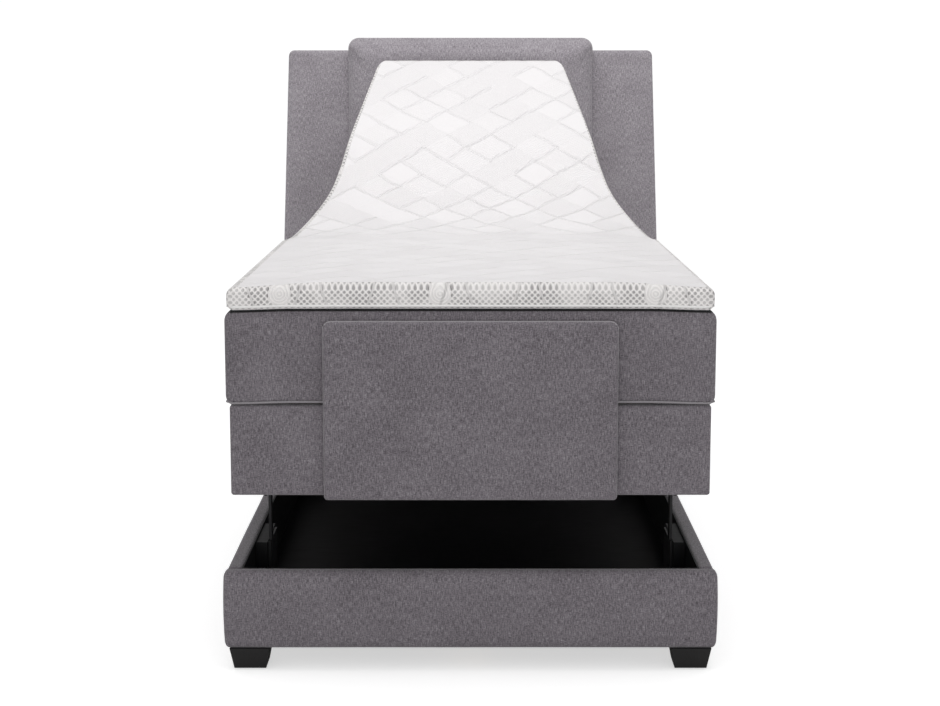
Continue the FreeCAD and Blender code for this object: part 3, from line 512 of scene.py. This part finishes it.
FINISHES = {
    "black_lining": black_board("black_lining_board"),
    "dust_cloth": dust_cloth("dust_cloth_black"),
    "raw_wood": timber("sawn_pine", (0.36, 0.23, 0.12), (0.62, 0.46, 0.28)),
    "black_wood": timber("black_stained_wood", (0.003, 0.0026, 0.0026), (0.008, 0.007, 0.0072),
                         0.4, 0.55, (14, 14, 1)),
    "felt": felt("felt_glide"),
    "black_steel": painted_steel("black_powder_coat", (0.005, 0.005, 0.006), (0.012, 0.012, 0.013)),
    "steel": bright_steel("drawn_steel"),
    "grey_steel": painted_steel("grey_powder_coat", (0.075, 0.077, 0.082), (0.105, 0.108, 0.115)),
    "slat_wood": timber("beech_slat", (0.50, 0.33, 0.17), (0.72, 0.53, 0.32)),
    "black_plastic": moulded_plastic("black_moulding", (0.012, 0.012, 0.013), (0.02, 0.02, 0.021)),
    "white_plastic": moulded_plastic("white_nylon", (0.62, 0.62, 0.59), (0.70, 0.70, 0.67)),
    "grey_fabric": GREY,
    "mattress_fabric": GREY,
    "topper_fabric": TOP_KNIT,
}


def paint_frame():
    """Give every CAD node the finish of its material slot."""
    for entry in frame["record"]["subparts"]:
        part = NODES[entry["node"]]
        finish = FINISHES[entry["material_slot"]]
        if not part.material_slots:
            part.data.materials.append(finish)
        for holder in part.material_slots:
            holder.material = finish


# ---------------------------------------------------------------- mesh helpers

def mesh_object(name, points, faces, *materials):
    """An object from arrays of points and faces, smooth shaded."""
    mesh = bpy.data.meshes.new(name)
    mesh.from_pydata([tuple(point) for point in points], [], [tuple(face) for face in faces])
    mesh.validate()
    mesh.update()
    mesh.shade_smooth()
    made = bpy.data.objects.new(name, mesh)
    bpy.context.scene.collection.objects.link(made)
    for material in materials:
        mesh.materials.append(material)
    return made


def read_points(thing):
    points = np.empty(len(thing.data.vertices) * 3)
    thing.data.vertices.foreach_get("co", points)
    return points.reshape(-1, 3)


def write_points(thing, points):
    thing.data.vertices.foreach_set("co", np.asarray(points, float).ravel())
    thing.data.update()


def corner_places(radius):
    """Places in a rounded corner, from its end."""
    return [radius * (1 - math.tan(angle)) for angle in CORNER_ANGLES]


def stations(low, high, radius, step):
    """Places along one side of a rounded box: close together in its corners."""
    corner = corner_places(radius)
    inner = max(2, int(round((high - low - 2 * radius) / step)))
    middle = np.linspace(low + radius, high - radius, inner + 1)
    return np.concatenate([low + np.array(corner), middle, high - np.array(corner[::-1])])


def box_grid(axes):
    """Points and outward faces of a closed box over three lists of places."""
    counts = [len(axis) for axis in axes]
    rows = []
    for fixed in range(3):
        first, second = [axis for axis in range(3) if axis != fixed]
        for end in (0, counts[fixed] - 1):
            a, b = np.meshgrid(np.arange(counts[first] - 1), np.arange(counts[second] - 1),
                               indexing="ij")
            corners = []
            for da, db in ((0, 0), (1, 0), (1, 1), (0, 1)):
                index = np.empty(a.shape + (3,), int)
                index[..., fixed] = end
                index[..., first] = a + da
                index[..., second] = b + db
                corners.append(index.reshape(-1, 3))
            outward = (end > 0) == (fixed != 1)
            rows.append(np.stack(corners if outward else corners[::-1], axis=1))
    quads = np.concatenate(rows)
    keys = quads.reshape(-1, 3) @ np.array([counts[1] * counts[2], counts[2], 1])
    unique, faces = np.unique(keys, return_inverse=True)
    places = np.stack([unique // (counts[1] * counts[2]),
                       (unique // counts[2]) % counts[1], unique % counts[2]], axis=1)
    points = np.stack([np.asarray(axes[axis])[places[:, axis]] for axis in range(3)], axis=1)
    return points, faces.reshape(-1, 4)


def rounded(points, low, high, radius):
    """Push the corners of a box grid onto a rounded box."""
    core = np.clip(points, low + radius, high - radius)
    out = (points - core) / radius
    length = np.linalg.norm(out, axis=1, keepdims=True)
    return np.where(length > TINY, core + out / np.maximum(length, TINY) * radius, points)


def dome(value, low, high, power):
    """1 in the middle of a side and 0 at its ends."""
    place = 2 * (value - low) / (high - low) - 1
    return 1 - np.abs(np.clip(place, -1, 1)) ** power


def padded_box(low, high, radius, step=0.014):
    """Points and faces of a rounded box, before its padding is added."""
    radius = np.broadcast_to(radius, 3)
    axes = [stations(low[axis], high[axis], radius[axis], step) for axis in range(3)]
    points, faces = box_grid(axes)
    return rounded(points, low, high, radius), faces


def swell(points, low, high, axis, way, amount, power):
    """Crown one face of a box, in place: its middle stands out by an amount."""
    others = [other for other in range(3) if other != axis]
    bulge = amount * dome(points[:, others[0]], low[others[0]], high[others[0]], power)
    bulge *= dome(points[:, others[1]], low[others[1]], high[others[1]], power)
    middle = (low[axis] + high[axis]) / 2
    half = (high[axis] - low[axis]) / 2
    share = np.clip(way * (points[:, axis] - middle) / half, 0, 1)
    points[:, axis] += way * bulge * share


def creases(points, seed, size, amount, axis):
    """Very low waves of a stretched cover, added in place."""
    rng = np.random.default_rng(seed)
    wave = np.zeros(len(points))
    waves = 5
    for _ in range(waves):
        direction = rng.normal(size=3)
        direction /= np.linalg.norm(direction)
        wave += np.sin(points @ direction * (2 * math.pi / size) + rng.uniform(0, 6.28))
    points[:, axis] += amount * wave / waves


CLOTH = {"tension_stiffness": 20, "compression_stiffness": 20, "shear_stiffness": 8,
         "bending_stiffness": 2, "mass": 0.4, "quality": 6}


def puff(thing, pressure, held, cap, frames=14):
    """Blow a piece up as cloth, keep its held points, and cap how far any point moves."""
    start = read_points(thing)
    group = thing.vertex_groups.new(name="held")
    group.add([int(index) for index in np.nonzero(held)[0]], 1.0, "REPLACE")
    modifier = thing.modifiers.new("cloth", "CLOTH")
    settings = modifier.settings
    settings.vertex_group_mass = group.name
    settings.use_pressure = True
    settings.uniform_pressure_force = pressure
    for name, value in CLOTH.items():
        setattr(settings, name, value)
    settings.effector_weights.gravity = 0
    modifier.collision_settings.use_collision = False
    modifier.point_cache.frame_start = 1
    modifier.point_cache.frame_end = frames
    scene = bpy.context.scene
    for number in range(1, frames + 1):
        scene.frame_set(number)
    ready = thing.evaluated_get(bpy.context.evaluated_depsgraph_get())
    moved = np.empty(len(ready.data.vertices) * 3)
    ready.data.vertices.foreach_get("co", moved)
    thing.modifiers.remove(modifier)
    thing.vertex_groups.remove(group)
    shift = moved.reshape(-1, 3) - start
    length = np.linalg.norm(shift, axis=1, keepdims=True)
    shift *= np.minimum(1, cap / np.maximum(length, TINY))
    write_points(thing, start + np.nan_to_num(shift))
    scene.frame_set(1)


def tube_mesh(path, radius, closed=False, sides=8):
    """Points and faces of a thin round tube along a path: piping, seams and bindings."""
    path = np.asarray(path, float)
    count = len(path)
    ahead = np.roll(path, -1, axis=0) - np.roll(path, 1, axis=0)
    if not closed:
        ahead[0] = path[1] - path[0]
        ahead[-1] = path[-1] - path[-2]
    ahead /= np.linalg.norm(ahead, axis=1, keepdims=True)
    up = np.where(np.abs(ahead[:, 2:3]) > 0.9, [[0.0, 1.0, 0.0]], [[0.0, 0.0, 1.0]])
    aside = np.cross(ahead, up)
    aside /= np.linalg.norm(aside, axis=1, keepdims=True)
    over = np.cross(aside, ahead)
    points = []
    for index in range(sides):
        angle = 2 * math.pi * index / sides
        points.append(path + radius * (math.cos(angle) * aside + math.sin(angle) * over))
    points = np.stack(points, axis=1).reshape(-1, 3)
    faces = []
    for ring in range(count if closed else count - 1):
        after = (ring + 1) % count
        for side in range(sides):
            nearby = (side + 1) % sides
            faces.append((ring * sides + side, ring * sides + nearby,
                          after * sides + nearby, after * sides + side))
    if not closed:
        faces.append(tuple(range(sides - 1, -1, -1)))
        faces.append(tuple((count - 1) * sides + side for side in range(sides)))
    return points, faces


def joined(parts):
    """One list of points and one of faces from several (points, faces) pairs."""
    points, faces, start = [], [], 0
    for some_points, some_faces in parts:
        points.append(some_points)
        faces += [tuple(int(corner) + start for corner in face) for face in some_faces]
        start += len(some_points)
    return np.concatenate(points), faces


def settle(piece, body, slot, *nodes, fill=None):
    """A finished piece rides on its body and stands for its CAD nodes."""
    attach(piece, body)
    if nodes:
        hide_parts(*nodes)


# ---------------------------------------------------------------- upholstered boards

def mitre_folds(points, low, high):
    """The folded cloth at a front's upper corners, in place: a furrow slanting to each corner."""
    drop = high[2] - points[:, 2]
    in_front = points[:, 1] < low[1] + FOLD_LAYER
    for corner in (low[0], high[0]):
        inward = np.abs(points[:, 0] - corner)
        off_line = np.abs(inward - drop) / math.sqrt(2)
        furrow = np.clip(1 - off_line / FOLD_HALF, 0, 1) * np.clip(1 - drop / FOLD_RUN, 0, 1)
        points[:, 1] += FOLD_DEPTH * furrow * in_front


def cover_board(node, body, radius, front_swell, face, seed, wider=0.0, side_swell=0.0,
                fold=False, step=0.014):
    """A board in its cover: round edges, a crowned show face and the cover's low waves."""
    low, high = node_box(node)
    low = low - np.array((wider, 0, 0))
    high = high + np.array((wider, 0, 0))
    points, faces = padded_box(low, high, radius, step)
    axis, way = face
    swell(points, low, high, axis, way, front_swell, 6)
    if side_swell:
        swell(points, low, high, 0, 1, side_swell, 2)
        swell(points, low, high, 0, -1, side_swell, 2)
    if fold:
        mitre_folds(points, low, high)
    creases(points, seed, 0.19, 0.0006, axis)
    piece = mesh_object(node + "_cover", points, faces, GREY)
    settle(piece, body, "grey_fabric", node, fill=0.9)


def make_rail_covers():
    """Covers of the storage base and of the upper box; the numbers seed their waves."""
    cover_board("storage_front", "storage_base", STORAGE_ROUND, 0.007, (1, -1), 3, wider=0.001,
                side_swell=0.003, fold=True, step=0.006)
    rails = (("left", (0, -1)), ("right", (0, 1)), ("rear", (1, 1)))
    for seed, (side, face) in enumerate(rails, 4):
        cover_board(f"storage_{side}_rail", "storage_base", STORAGE_RAIL_ROUND,
                    STORAGE_RAIL_SWELL, face, seed)
    for seed, (side, face) in enumerate((("front", (1, -1)), *rails), 7):
        cover_board(f"box_{side}_rail", "upper_box", BOX_RAIL_ROUND, BOX_RAIL_SWELL, face, seed)


def make_front_panel():
    """The padded panel at the foot end, with rounded upper corners and a piped rim."""
    low, high = node_box("front_panel")
    points, faces = padded_box(low, high, 0.007, 0.010)
    corner = PANEL_CORNER
    half = (high[0] - low[0]) / 2
    reach = np.abs(points[:, 0]) - (half - corner)
    rise = points[:, 2] - (high[2] - corner)
    outside = (reach > 0) & (rise > 0)
    length = np.hypot(reach, rise)
    square = np.maximum(reach, rise)
    shrink = np.where(outside & (length > 0), square / np.maximum(length, TINY), 1)
    points[:, 0] = np.where(outside, np.sign(points[:, 0]) * (half - corner + reach * shrink),
                            points[:, 0])
    points[:, 2] = np.where(outside, high[2] - corner + rise * shrink, points[:, 2])
    swell(points, low, high, 1, -1, 0.002, 8)
    creases(points, 11, 0.16, 0.0004, 1)
    piece = mesh_object("front_panel_cover", points, faces, GREY)
    settle(piece, "upper_box", "grey_fabric", "front_panel", fill=0.9)
    # The rim piping's lighter tape is a painted highlight along the panel's edge.
    bow = [np.array([half - corner + (corner - RIM_INSET) * math.sin(angle),
                     high[2] - corner + (corner - RIM_INSET) * math.cos(angle)])
           for angle in np.linspace(math.pi / 2, 0, 9)]
    side = [np.array([half - RIM_INSET, level]) for level in
            np.linspace(low[2] + 0.006, high[2] - corner, 30)]
    right = side + bow[1:]
    top = [np.array([x, high[2] - RIM_INSET])
           for x in np.linspace(half - corner, corner - half, 40)]
    left = [spot * np.array([-1, 1]) for spot in right[::-1]]
    outline = np.array(right + top[1:-1] + left)
    depth = np.full(len(outline), low[1] + RIM_BEHIND)
    path = np.stack([outline[:, 0], depth, outline[:, 1]], axis=1)
    points, faces = tube_mesh(path, RIM_RADIUS)
    rim = mesh_object("front_panel_rim", points, faces, PANEL_RIM_HIGHLIGHT_TAPE)
    settle(rim, "upper_box", "grey_fabric")


def make_headboard():
    """The wide padded panel, which narrows above its shoulder, and the cushion on it."""
    low, high = node_box("headboard_panel")
    points, faces = padded_box(low, high, (0.018, 0.012, 0.018), 0.016)
    taper = np.clip((points[:, 2] - SHOULDER_HEIGHT) / (high[2] - SHOULDER_HEIGHT), 0, 1)
    points[:, 0] *= 1 + taper * (HEADBOARD_TOP_HALF / high[0] - 1)
    swell(points, low, high, 1, -1, 0.003, 8)
    creases(points, 12, 0.30, 0.0008, 1)
    panel = mesh_object("headboard_panel_cover", points, faces, PAINTED_LIGHT_HEADBOARD_WEAVE)
    settle(panel, "storage_base", "grey_fabric", "headboard_panel", fill=0.9)

    low, high = node_box("headboard_cushion")
    points, faces = padded_box(low, high, (0.034, 0.024, 0.034), 0.016)
    cushion = mesh_object("headboard_cushion_cover", points, faces, PAINTED_LIGHT_HEADBOARD_WEAVE)
    held = points[:, 1] > high[1] - CUSHION_BACK
    puff(cushion, 1.2, held, 0.010)
    points = read_points(cushion)
    points[:, 1] = np.minimum(points[:, 1], high[1])
    creases(points, 13, 0.26, 0.0010, 1)
    write_points(cushion, points)
    settle(cushion, "storage_base", "grey_fabric", "headboard_cushion", fill=0.85)


# ---------------------------------------------------------------- mattress and topper

def back_half_width(along):
    """Half width of the soft layers at a distance from the foot end: full, then the taper."""
    return np.interp(along, TAPER_PLACES, TAPER_HALVES)


def smooth_half_width(along):
    """The taper with its corners softened."""
    total = np.zeros_like(along)
    shifts = np.linspace(-TAPER_SOFTENED, TAPER_SOFTENED, 9)
    for shift in shifts:
        total += back_half_width(np.clip(along + shift, 0, LENGTH))
    return total / len(shifts)


def face_share(points):
    """How much narrower the layer is at these points than at its foot end."""
    return smooth_half_width(points[:, 1] - FOOT_END) / smooth_half_width(np.array([0.0]))


def ease(value):
    value = np.clip(value, 0, 1)
    return value * value * (3 - 2 * value)


def raise_back(points):
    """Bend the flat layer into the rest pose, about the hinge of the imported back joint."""
    offset_y = points[:, 1] - HINGE[1]
    offset_z = points[:, 2] - HINGE[2]
    start = FOOT_END + BEND_START
    span = BEND_END - BEND_START
    low = np.zeros(len(points))
    high = np.ones(len(points))
    for _ in range(30):
        share = (low + high) / 2
        angle = share * BACK_REST
        y = HINGE[1] + offset_y * np.cos(angle) - offset_z * np.sin(angle)
        more = ease((y - start) / span) > share
        low = np.where(more, share, low)
        high = np.where(more, high, share)
    angle = (low + high) / 2 * BACK_REST
    bent = points.copy()
    bent[:, 1] = HINGE[1] + offset_y * np.cos(angle) - offset_z * np.sin(angle)
    bent[:, 2] = HINGE[2] + offset_y * np.sin(angle) + offset_z * np.cos(angle)
    return bent


def end_stations(start, stop, radius, step):
    """Places along the layer between two cuts, close together at the layer's own ends."""
    corner = corner_places(radius)
    first = corner if start == 0 else []
    last = [LENGTH - place for place in corner[::-1]] if stop == LENGTH else []
    low = radius if start == 0 else start
    high = LENGTH - radius if stop == LENGTH else stop
    middle = np.linspace(low, high, max(2, int(round((high - low) / step))) + 1)
    return FOOT_END + np.concatenate([first, middle, last])


def corner_cut(along):
    """How much narrower the layer is where its corners are rounded, seen from above."""
    cut = np.zeros_like(along)
    for distance, radius in ((along, FOOT_CORNER), (LENGTH - along, HEAD_CORNER)):
        short = np.clip(radius - distance, 0, radius)
        cut += radius - np.sqrt(radius ** 2 - short ** 2)
    return cut


def droop(across):
    """The layers hang slightly at their sides."""
    return DROOP * ease((np.abs(across) - DROOP_FROM) / DROOP_WIDTH)


def quilting(points):
    """Height of the quilted top: each lozenge is a low pillow between sewn-down borders."""
    along = points[:, 1] / LOZENGE[1]
    across = points[:, 0] / LOZENGE[0]
    edge = np.maximum(np.abs((across + along) % 1 - 0.5), np.abs((across - along) % 1 - 0.5))
    return PILLOW * (1 - (2 * edge) ** 8) - PILLOW


def layer_seam(start, stop, half, level, proud, radius):
    """Piping round the part of the layer's edge between two cuts, as (points, faces) pairs."""
    places = np.linspace(start, stop, max(2, int((stop - start) / 0.02)) + 1)
    keep = places[(places >= (SEAM_CORNER if start == 0 else 0))
                  & (places <= (LENGTH - SEAM_CORNER if stop == LENGTH else LENGTH))]
    wide = smooth_half_width(keep) / smooth_half_width(np.array([0.0])) * half + proud
    wide -= corner_cut(keep)
    right = np.stack([wide, FOOT_END + keep, np.full(len(keep), level)], axis=1)
    left = right * np.array([-1, 1, 1])
    if start > 0 and stop < LENGTH:
        paths = [right, left]
    else:
        end = -proud if start == 0 else LENGTH + proud
        reach = (right[0] if start == 0 else right[-1])[0] - SEAM_CORNER
        cross = np.linspace(reach, -reach, 60)
        bar = np.stack([cross, np.full_like(cross, FOOT_END + end),
                        np.full_like(cross, level)], axis=1)
        paths = [np.concatenate([right[::-1], bar, left] if start == 0 else
                                [right, bar, left[::-1]])]
    pairs = []
    for path in paths:
        path = path.copy()
        path[:, 2] -= droop(path[:, 0])
        pairs.append(tube_mesh(path, radius))
    return pairs


def layer_piece(name, low, high, start, stop, radius, steps, materials, quilt, seam):
    """One piece of a soft layer in its flat shape, with its flat coordinates kept on it."""
    low, high = np.array(low), np.array(high)
    low[1], high[1] = FOOT_END, FOOT_END + LENGTH
    axes = [stations(low[0], high[0], radius[0], steps[0]),
            end_stations(start, stop, radius[1], steps[1]),
            stations(low[2], high[2], radius[2], steps[2])]
    points, faces = box_grid(axes)
    points = rounded(points, low, high, np.array(radius))
    half = high[0]
    points[:, 0] *= face_share(points) - corner_cut(points[:, 1] - FOOT_END) / half
    flat = points.copy()
    if quilt:
        on_top = ease((points[:, 2] - (high[2] - TOP_ZONE)) / TOP_ZONE)
        points[:, 2] += quilting(points) * on_top
        fall = ease((np.abs(points[:, 0]) - CROWN_FLAT) / CROWN_FALL)
        points[:, 2] += CROWN * (1 - fall) * on_top
    points[:, 2] -= droop(points[:, 0])
    pairs = [(points, faces), *layer_seam(start, stop, half, *seam)]
    points, faces = joined(pairs)
    flat = np.concatenate([flat, points[len(flat):]])
    if start >= CUT_BACK:
        points = raise_back(points)
    piece = mesh_object(name, points, faces, *materials)
    grid_faces = len(pairs[0][1])
    spots = flat[[face[0] for face in faces]]
    other = flat[[face[2] for face in faces]]
    level = np.abs(spots[:, 2] - other[:, 2]) < 0.004
    inward = np.minimum.reduce([spots[:, 1] - FOOT_END, FOOT_END + LENGTH - spots[:, 1],
                                half - np.abs(spots[:, 0]) / face_share(spots)])
    if quilt:
        inside = (spots[:, 2] > high[2] - 0.004) & (inward > radius[1] + BAND_OVER)
        inside = level & (inside | (spots[:, 2] < low[2] + 0.002))
    else:
        # On the mattress the first slot takes in the upper and lower few millimetres of the rounded
        # edges. Its dark cloth there is painted shadow in the gaps to the topper and to the box.
        middle = (spots[:, 2] + other[:, 2]) / 2
        inside = (middle > high[2] - 0.0045) | (middle < low[2] + 0.0025)
    kinds = np.where(inside, 0, 1)      # the flat faces, the side band, and the piping as 2
    kinds[grid_faces:] = 2
    piece.data.polygons.foreach_set("material_index", kinds.astype(np.int32))
    for kind, places in (("flat", flat), ("band", band_places(flat, low, high, radius))):
        kept = piece.data.attributes.new(kind, "FLOAT_VECTOR", "POINT")
        kept.data.foreach_set("vector", places.astype(np.float32).ravel())
    piece.data.update()
    return piece


def band_places(flat, low, high, radius):
    """Places on the side band: the way round from the middle of the foot end, and the height."""
    half = high[0]
    across = np.clip(flat[:, 0] / face_share(flat), -half, half)
    along = flat[:, 1] - FOOT_END
    aside = half - np.abs(across)
    on_side = aside < along
    around = np.where(on_side, np.sign(across) * (half - radius[0] + along), across)
    inward = np.minimum(np.minimum(aside, along), LENGTH - along)
    over = np.where(flat[:, 2] > high[2] - 0.004, np.clip(inward - radius[1], 0, 0.03), 0)
    height = flat[:, 2] - (low[2] + high[2]) / 2 + over
    return np.stack([around, height, np.zeros(len(flat))], axis=1)


def make_layer(name, low, high, radius, steps, materials, seam, quilt=False):
    """A soft layer in three pieces, cut at the knee and at the back; the back piece is raised into
    the rest pose.
    """
    parts = (
        ("legs", 0, CUT_KNEE, "thigh_section", "calf_section", KNEE_BEND[1], KNEE_BEND[0],
         ("calf",)),
        ("middle", CUT_KNEE, CUT_BACK, "upper_box", "thigh_section", THIGH_BEND[1],
         THIGH_BEND[0], ("seat", "thigh")),
        ("back", CUT_BACK, LENGTH, "upper_box", "back_section", BEND_START, BEND_END,
         ("back",)),
    )
    for part, start, stop, near, far, begin, finish, nodes in parts:
        piece = layer_piece(f"{name}_cover_{part}", low, high, start, stop, radius, steps,
                            materials, quilt, seam)
        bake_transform(piece)
        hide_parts(*[f"{name}_{node}" for node in nodes])


def make_soft_layers():
    """Mattress and topper; seam is the piping's height, how far it stands proud and its radius."""
    bulge = np.array([MATTRESS_BULGE, 0, 0])
    make_layer("mattress", MATTRESS_LOW - bulge, MATTRESS_HIGH + bulge, (0.018, 0.016, 0.022),
               (0.012, 0.012, 0.012), (ANTI_SLIP_AND_GAP_SHADOW_CLOTH, MATTRESS_WEAVE, MATTRESS_TAPE),
               seam=(MATTRESS_LOW[2] + 0.007, -0.0015, 0.0022))
    make_layer("topper", TOPPER_LOW, TOPPER_HIGH, (0.015, 0.014, 0.016),
               (0.006, 0.006, 0.006), (TOP_KNIT, BAND_KNIT, TOPPER_TAPE),
               quilt=True,
               seam=(TOPPER_LOW[2] + 0.008, -0.0015, 0.0026))


# ---------------------------------------------------------------- floor, light and camera

def aimed(name, light, power, spot, target):
    """Put a light at a spot and turn it to its target."""
    light.energy = power
    made = bpy.data.objects.new(name, light)
    made.location = spot
    made.rotation_euler = (Vector(target) - Vector(spot)).to_track_quat("-Z", "Y").to_euler()
    bpy.context.scene.collection.objects.link(made)


def area_light(name, spot, target, size, power):
    light = bpy.data.lights.new(name, "AREA")
    light.shape = "RECTANGLE"
    light.size, light.size_y = size
    aimed(name, light, power, spot, target)


def floor_paint():
    """Matt white studio floor with a very faint mottle, and a glow that lights nothing else."""
    g = Graph("studio_floor")
    cloud = g.noise(g.place(), 1.5, 4, 0.6)
    shade = g.colours(cloud, (0.3, (0.78, 0.78, 0.78)), (0.7, (0.82, 0.82, 0.82)))
    seen = g.node("ShaderNodeLightPath").outputs["Is Camera Ray"]
    g.put((1, 1, 1, 1), g.shader.inputs["Emission Color"])
    g.put(g.math("MULTIPLY", seen, 0.55), g.shader.inputs["Emission Strength"])
    return g.surface(shade, g.between(cloud, 0.85, 0.95), g.bump(cloud, 0.001, 0.1))


def make_studio():
    """Floor, world and lights; the world looks white but gives less light than that."""
    reach = 60
    points = [(-reach, -reach, 0), (reach, -reach, 0), (reach, reach, 0), (-reach, reach, 0)]
    floor = mesh_object("studio_floor", points, [(0, 1, 2, 3)], floor_paint())
    world = bpy.data.worlds.new("studio")
    world.use_nodes = True
    tree = world.node_tree
    backdrop = tree.nodes["Background"]
    backdrop.inputs["Color"].default_value = (1, 1, 1, 1)
    seen = tree.nodes.new("ShaderNodeLightPath")
    strength = tree.nodes.new("ShaderNodeMapRange")
    strength.inputs["To Min"].default_value = WORLD_LIGHT
    strength.inputs["To Max"].default_value = 1.02
    tree.links.new(seen.outputs["Is Camera Ray"], strength.inputs["Value"])
    tree.links.new(strength.outputs[0], backdrop.inputs["Strength"])
    bpy.context.scene.world = world
    area_light("softbox_above", (0.0, -0.6, 3.6), (0.0, 0.2, 0.6), (2.4, 2.0), 39)
    area_light("softbox_front", (0.0, -5.2, 1.0), (0.0, -1.1, 0.5), (3.0, 1.2), 48)
    spot = bpy.data.lights.new("spot_headboard", "SPOT")
    spot.spot_size = math.radians(26)
    spot.spot_blend = 0.8
    spot.shadow_soft_size = 0.5
    aimed("spot_headboard", spot, 76, (0.0, -3.6, 2.0), (0.0, 1.05, 1.15))
    bpy.context.scene.view_settings.view_transform = "Standard"


def make_camera():
    data = bpy.data.cameras.new("camera")
    data.sensor_width = 36.0
    data.lens = 65.24
    data.shift_x = -0.0005
    data.shift_y = -0.05
    camera = bpy.data.objects.new("camera", data)
    camera.location = (0.0, CAD_BOX[0][1] - 3.4, 1.2512)
    camera.rotation_euler = (math.radians(82.074), 0.0, 0.0)
    bpy.context.scene.collection.objects.link(camera)
    bpy.context.scene.camera = camera


# ---------------------------------------------------------------- all of it

paint_frame()
make_rail_covers()
make_front_panel()
make_headboard()
make_soft_layers()
make_studio()
make_camera()
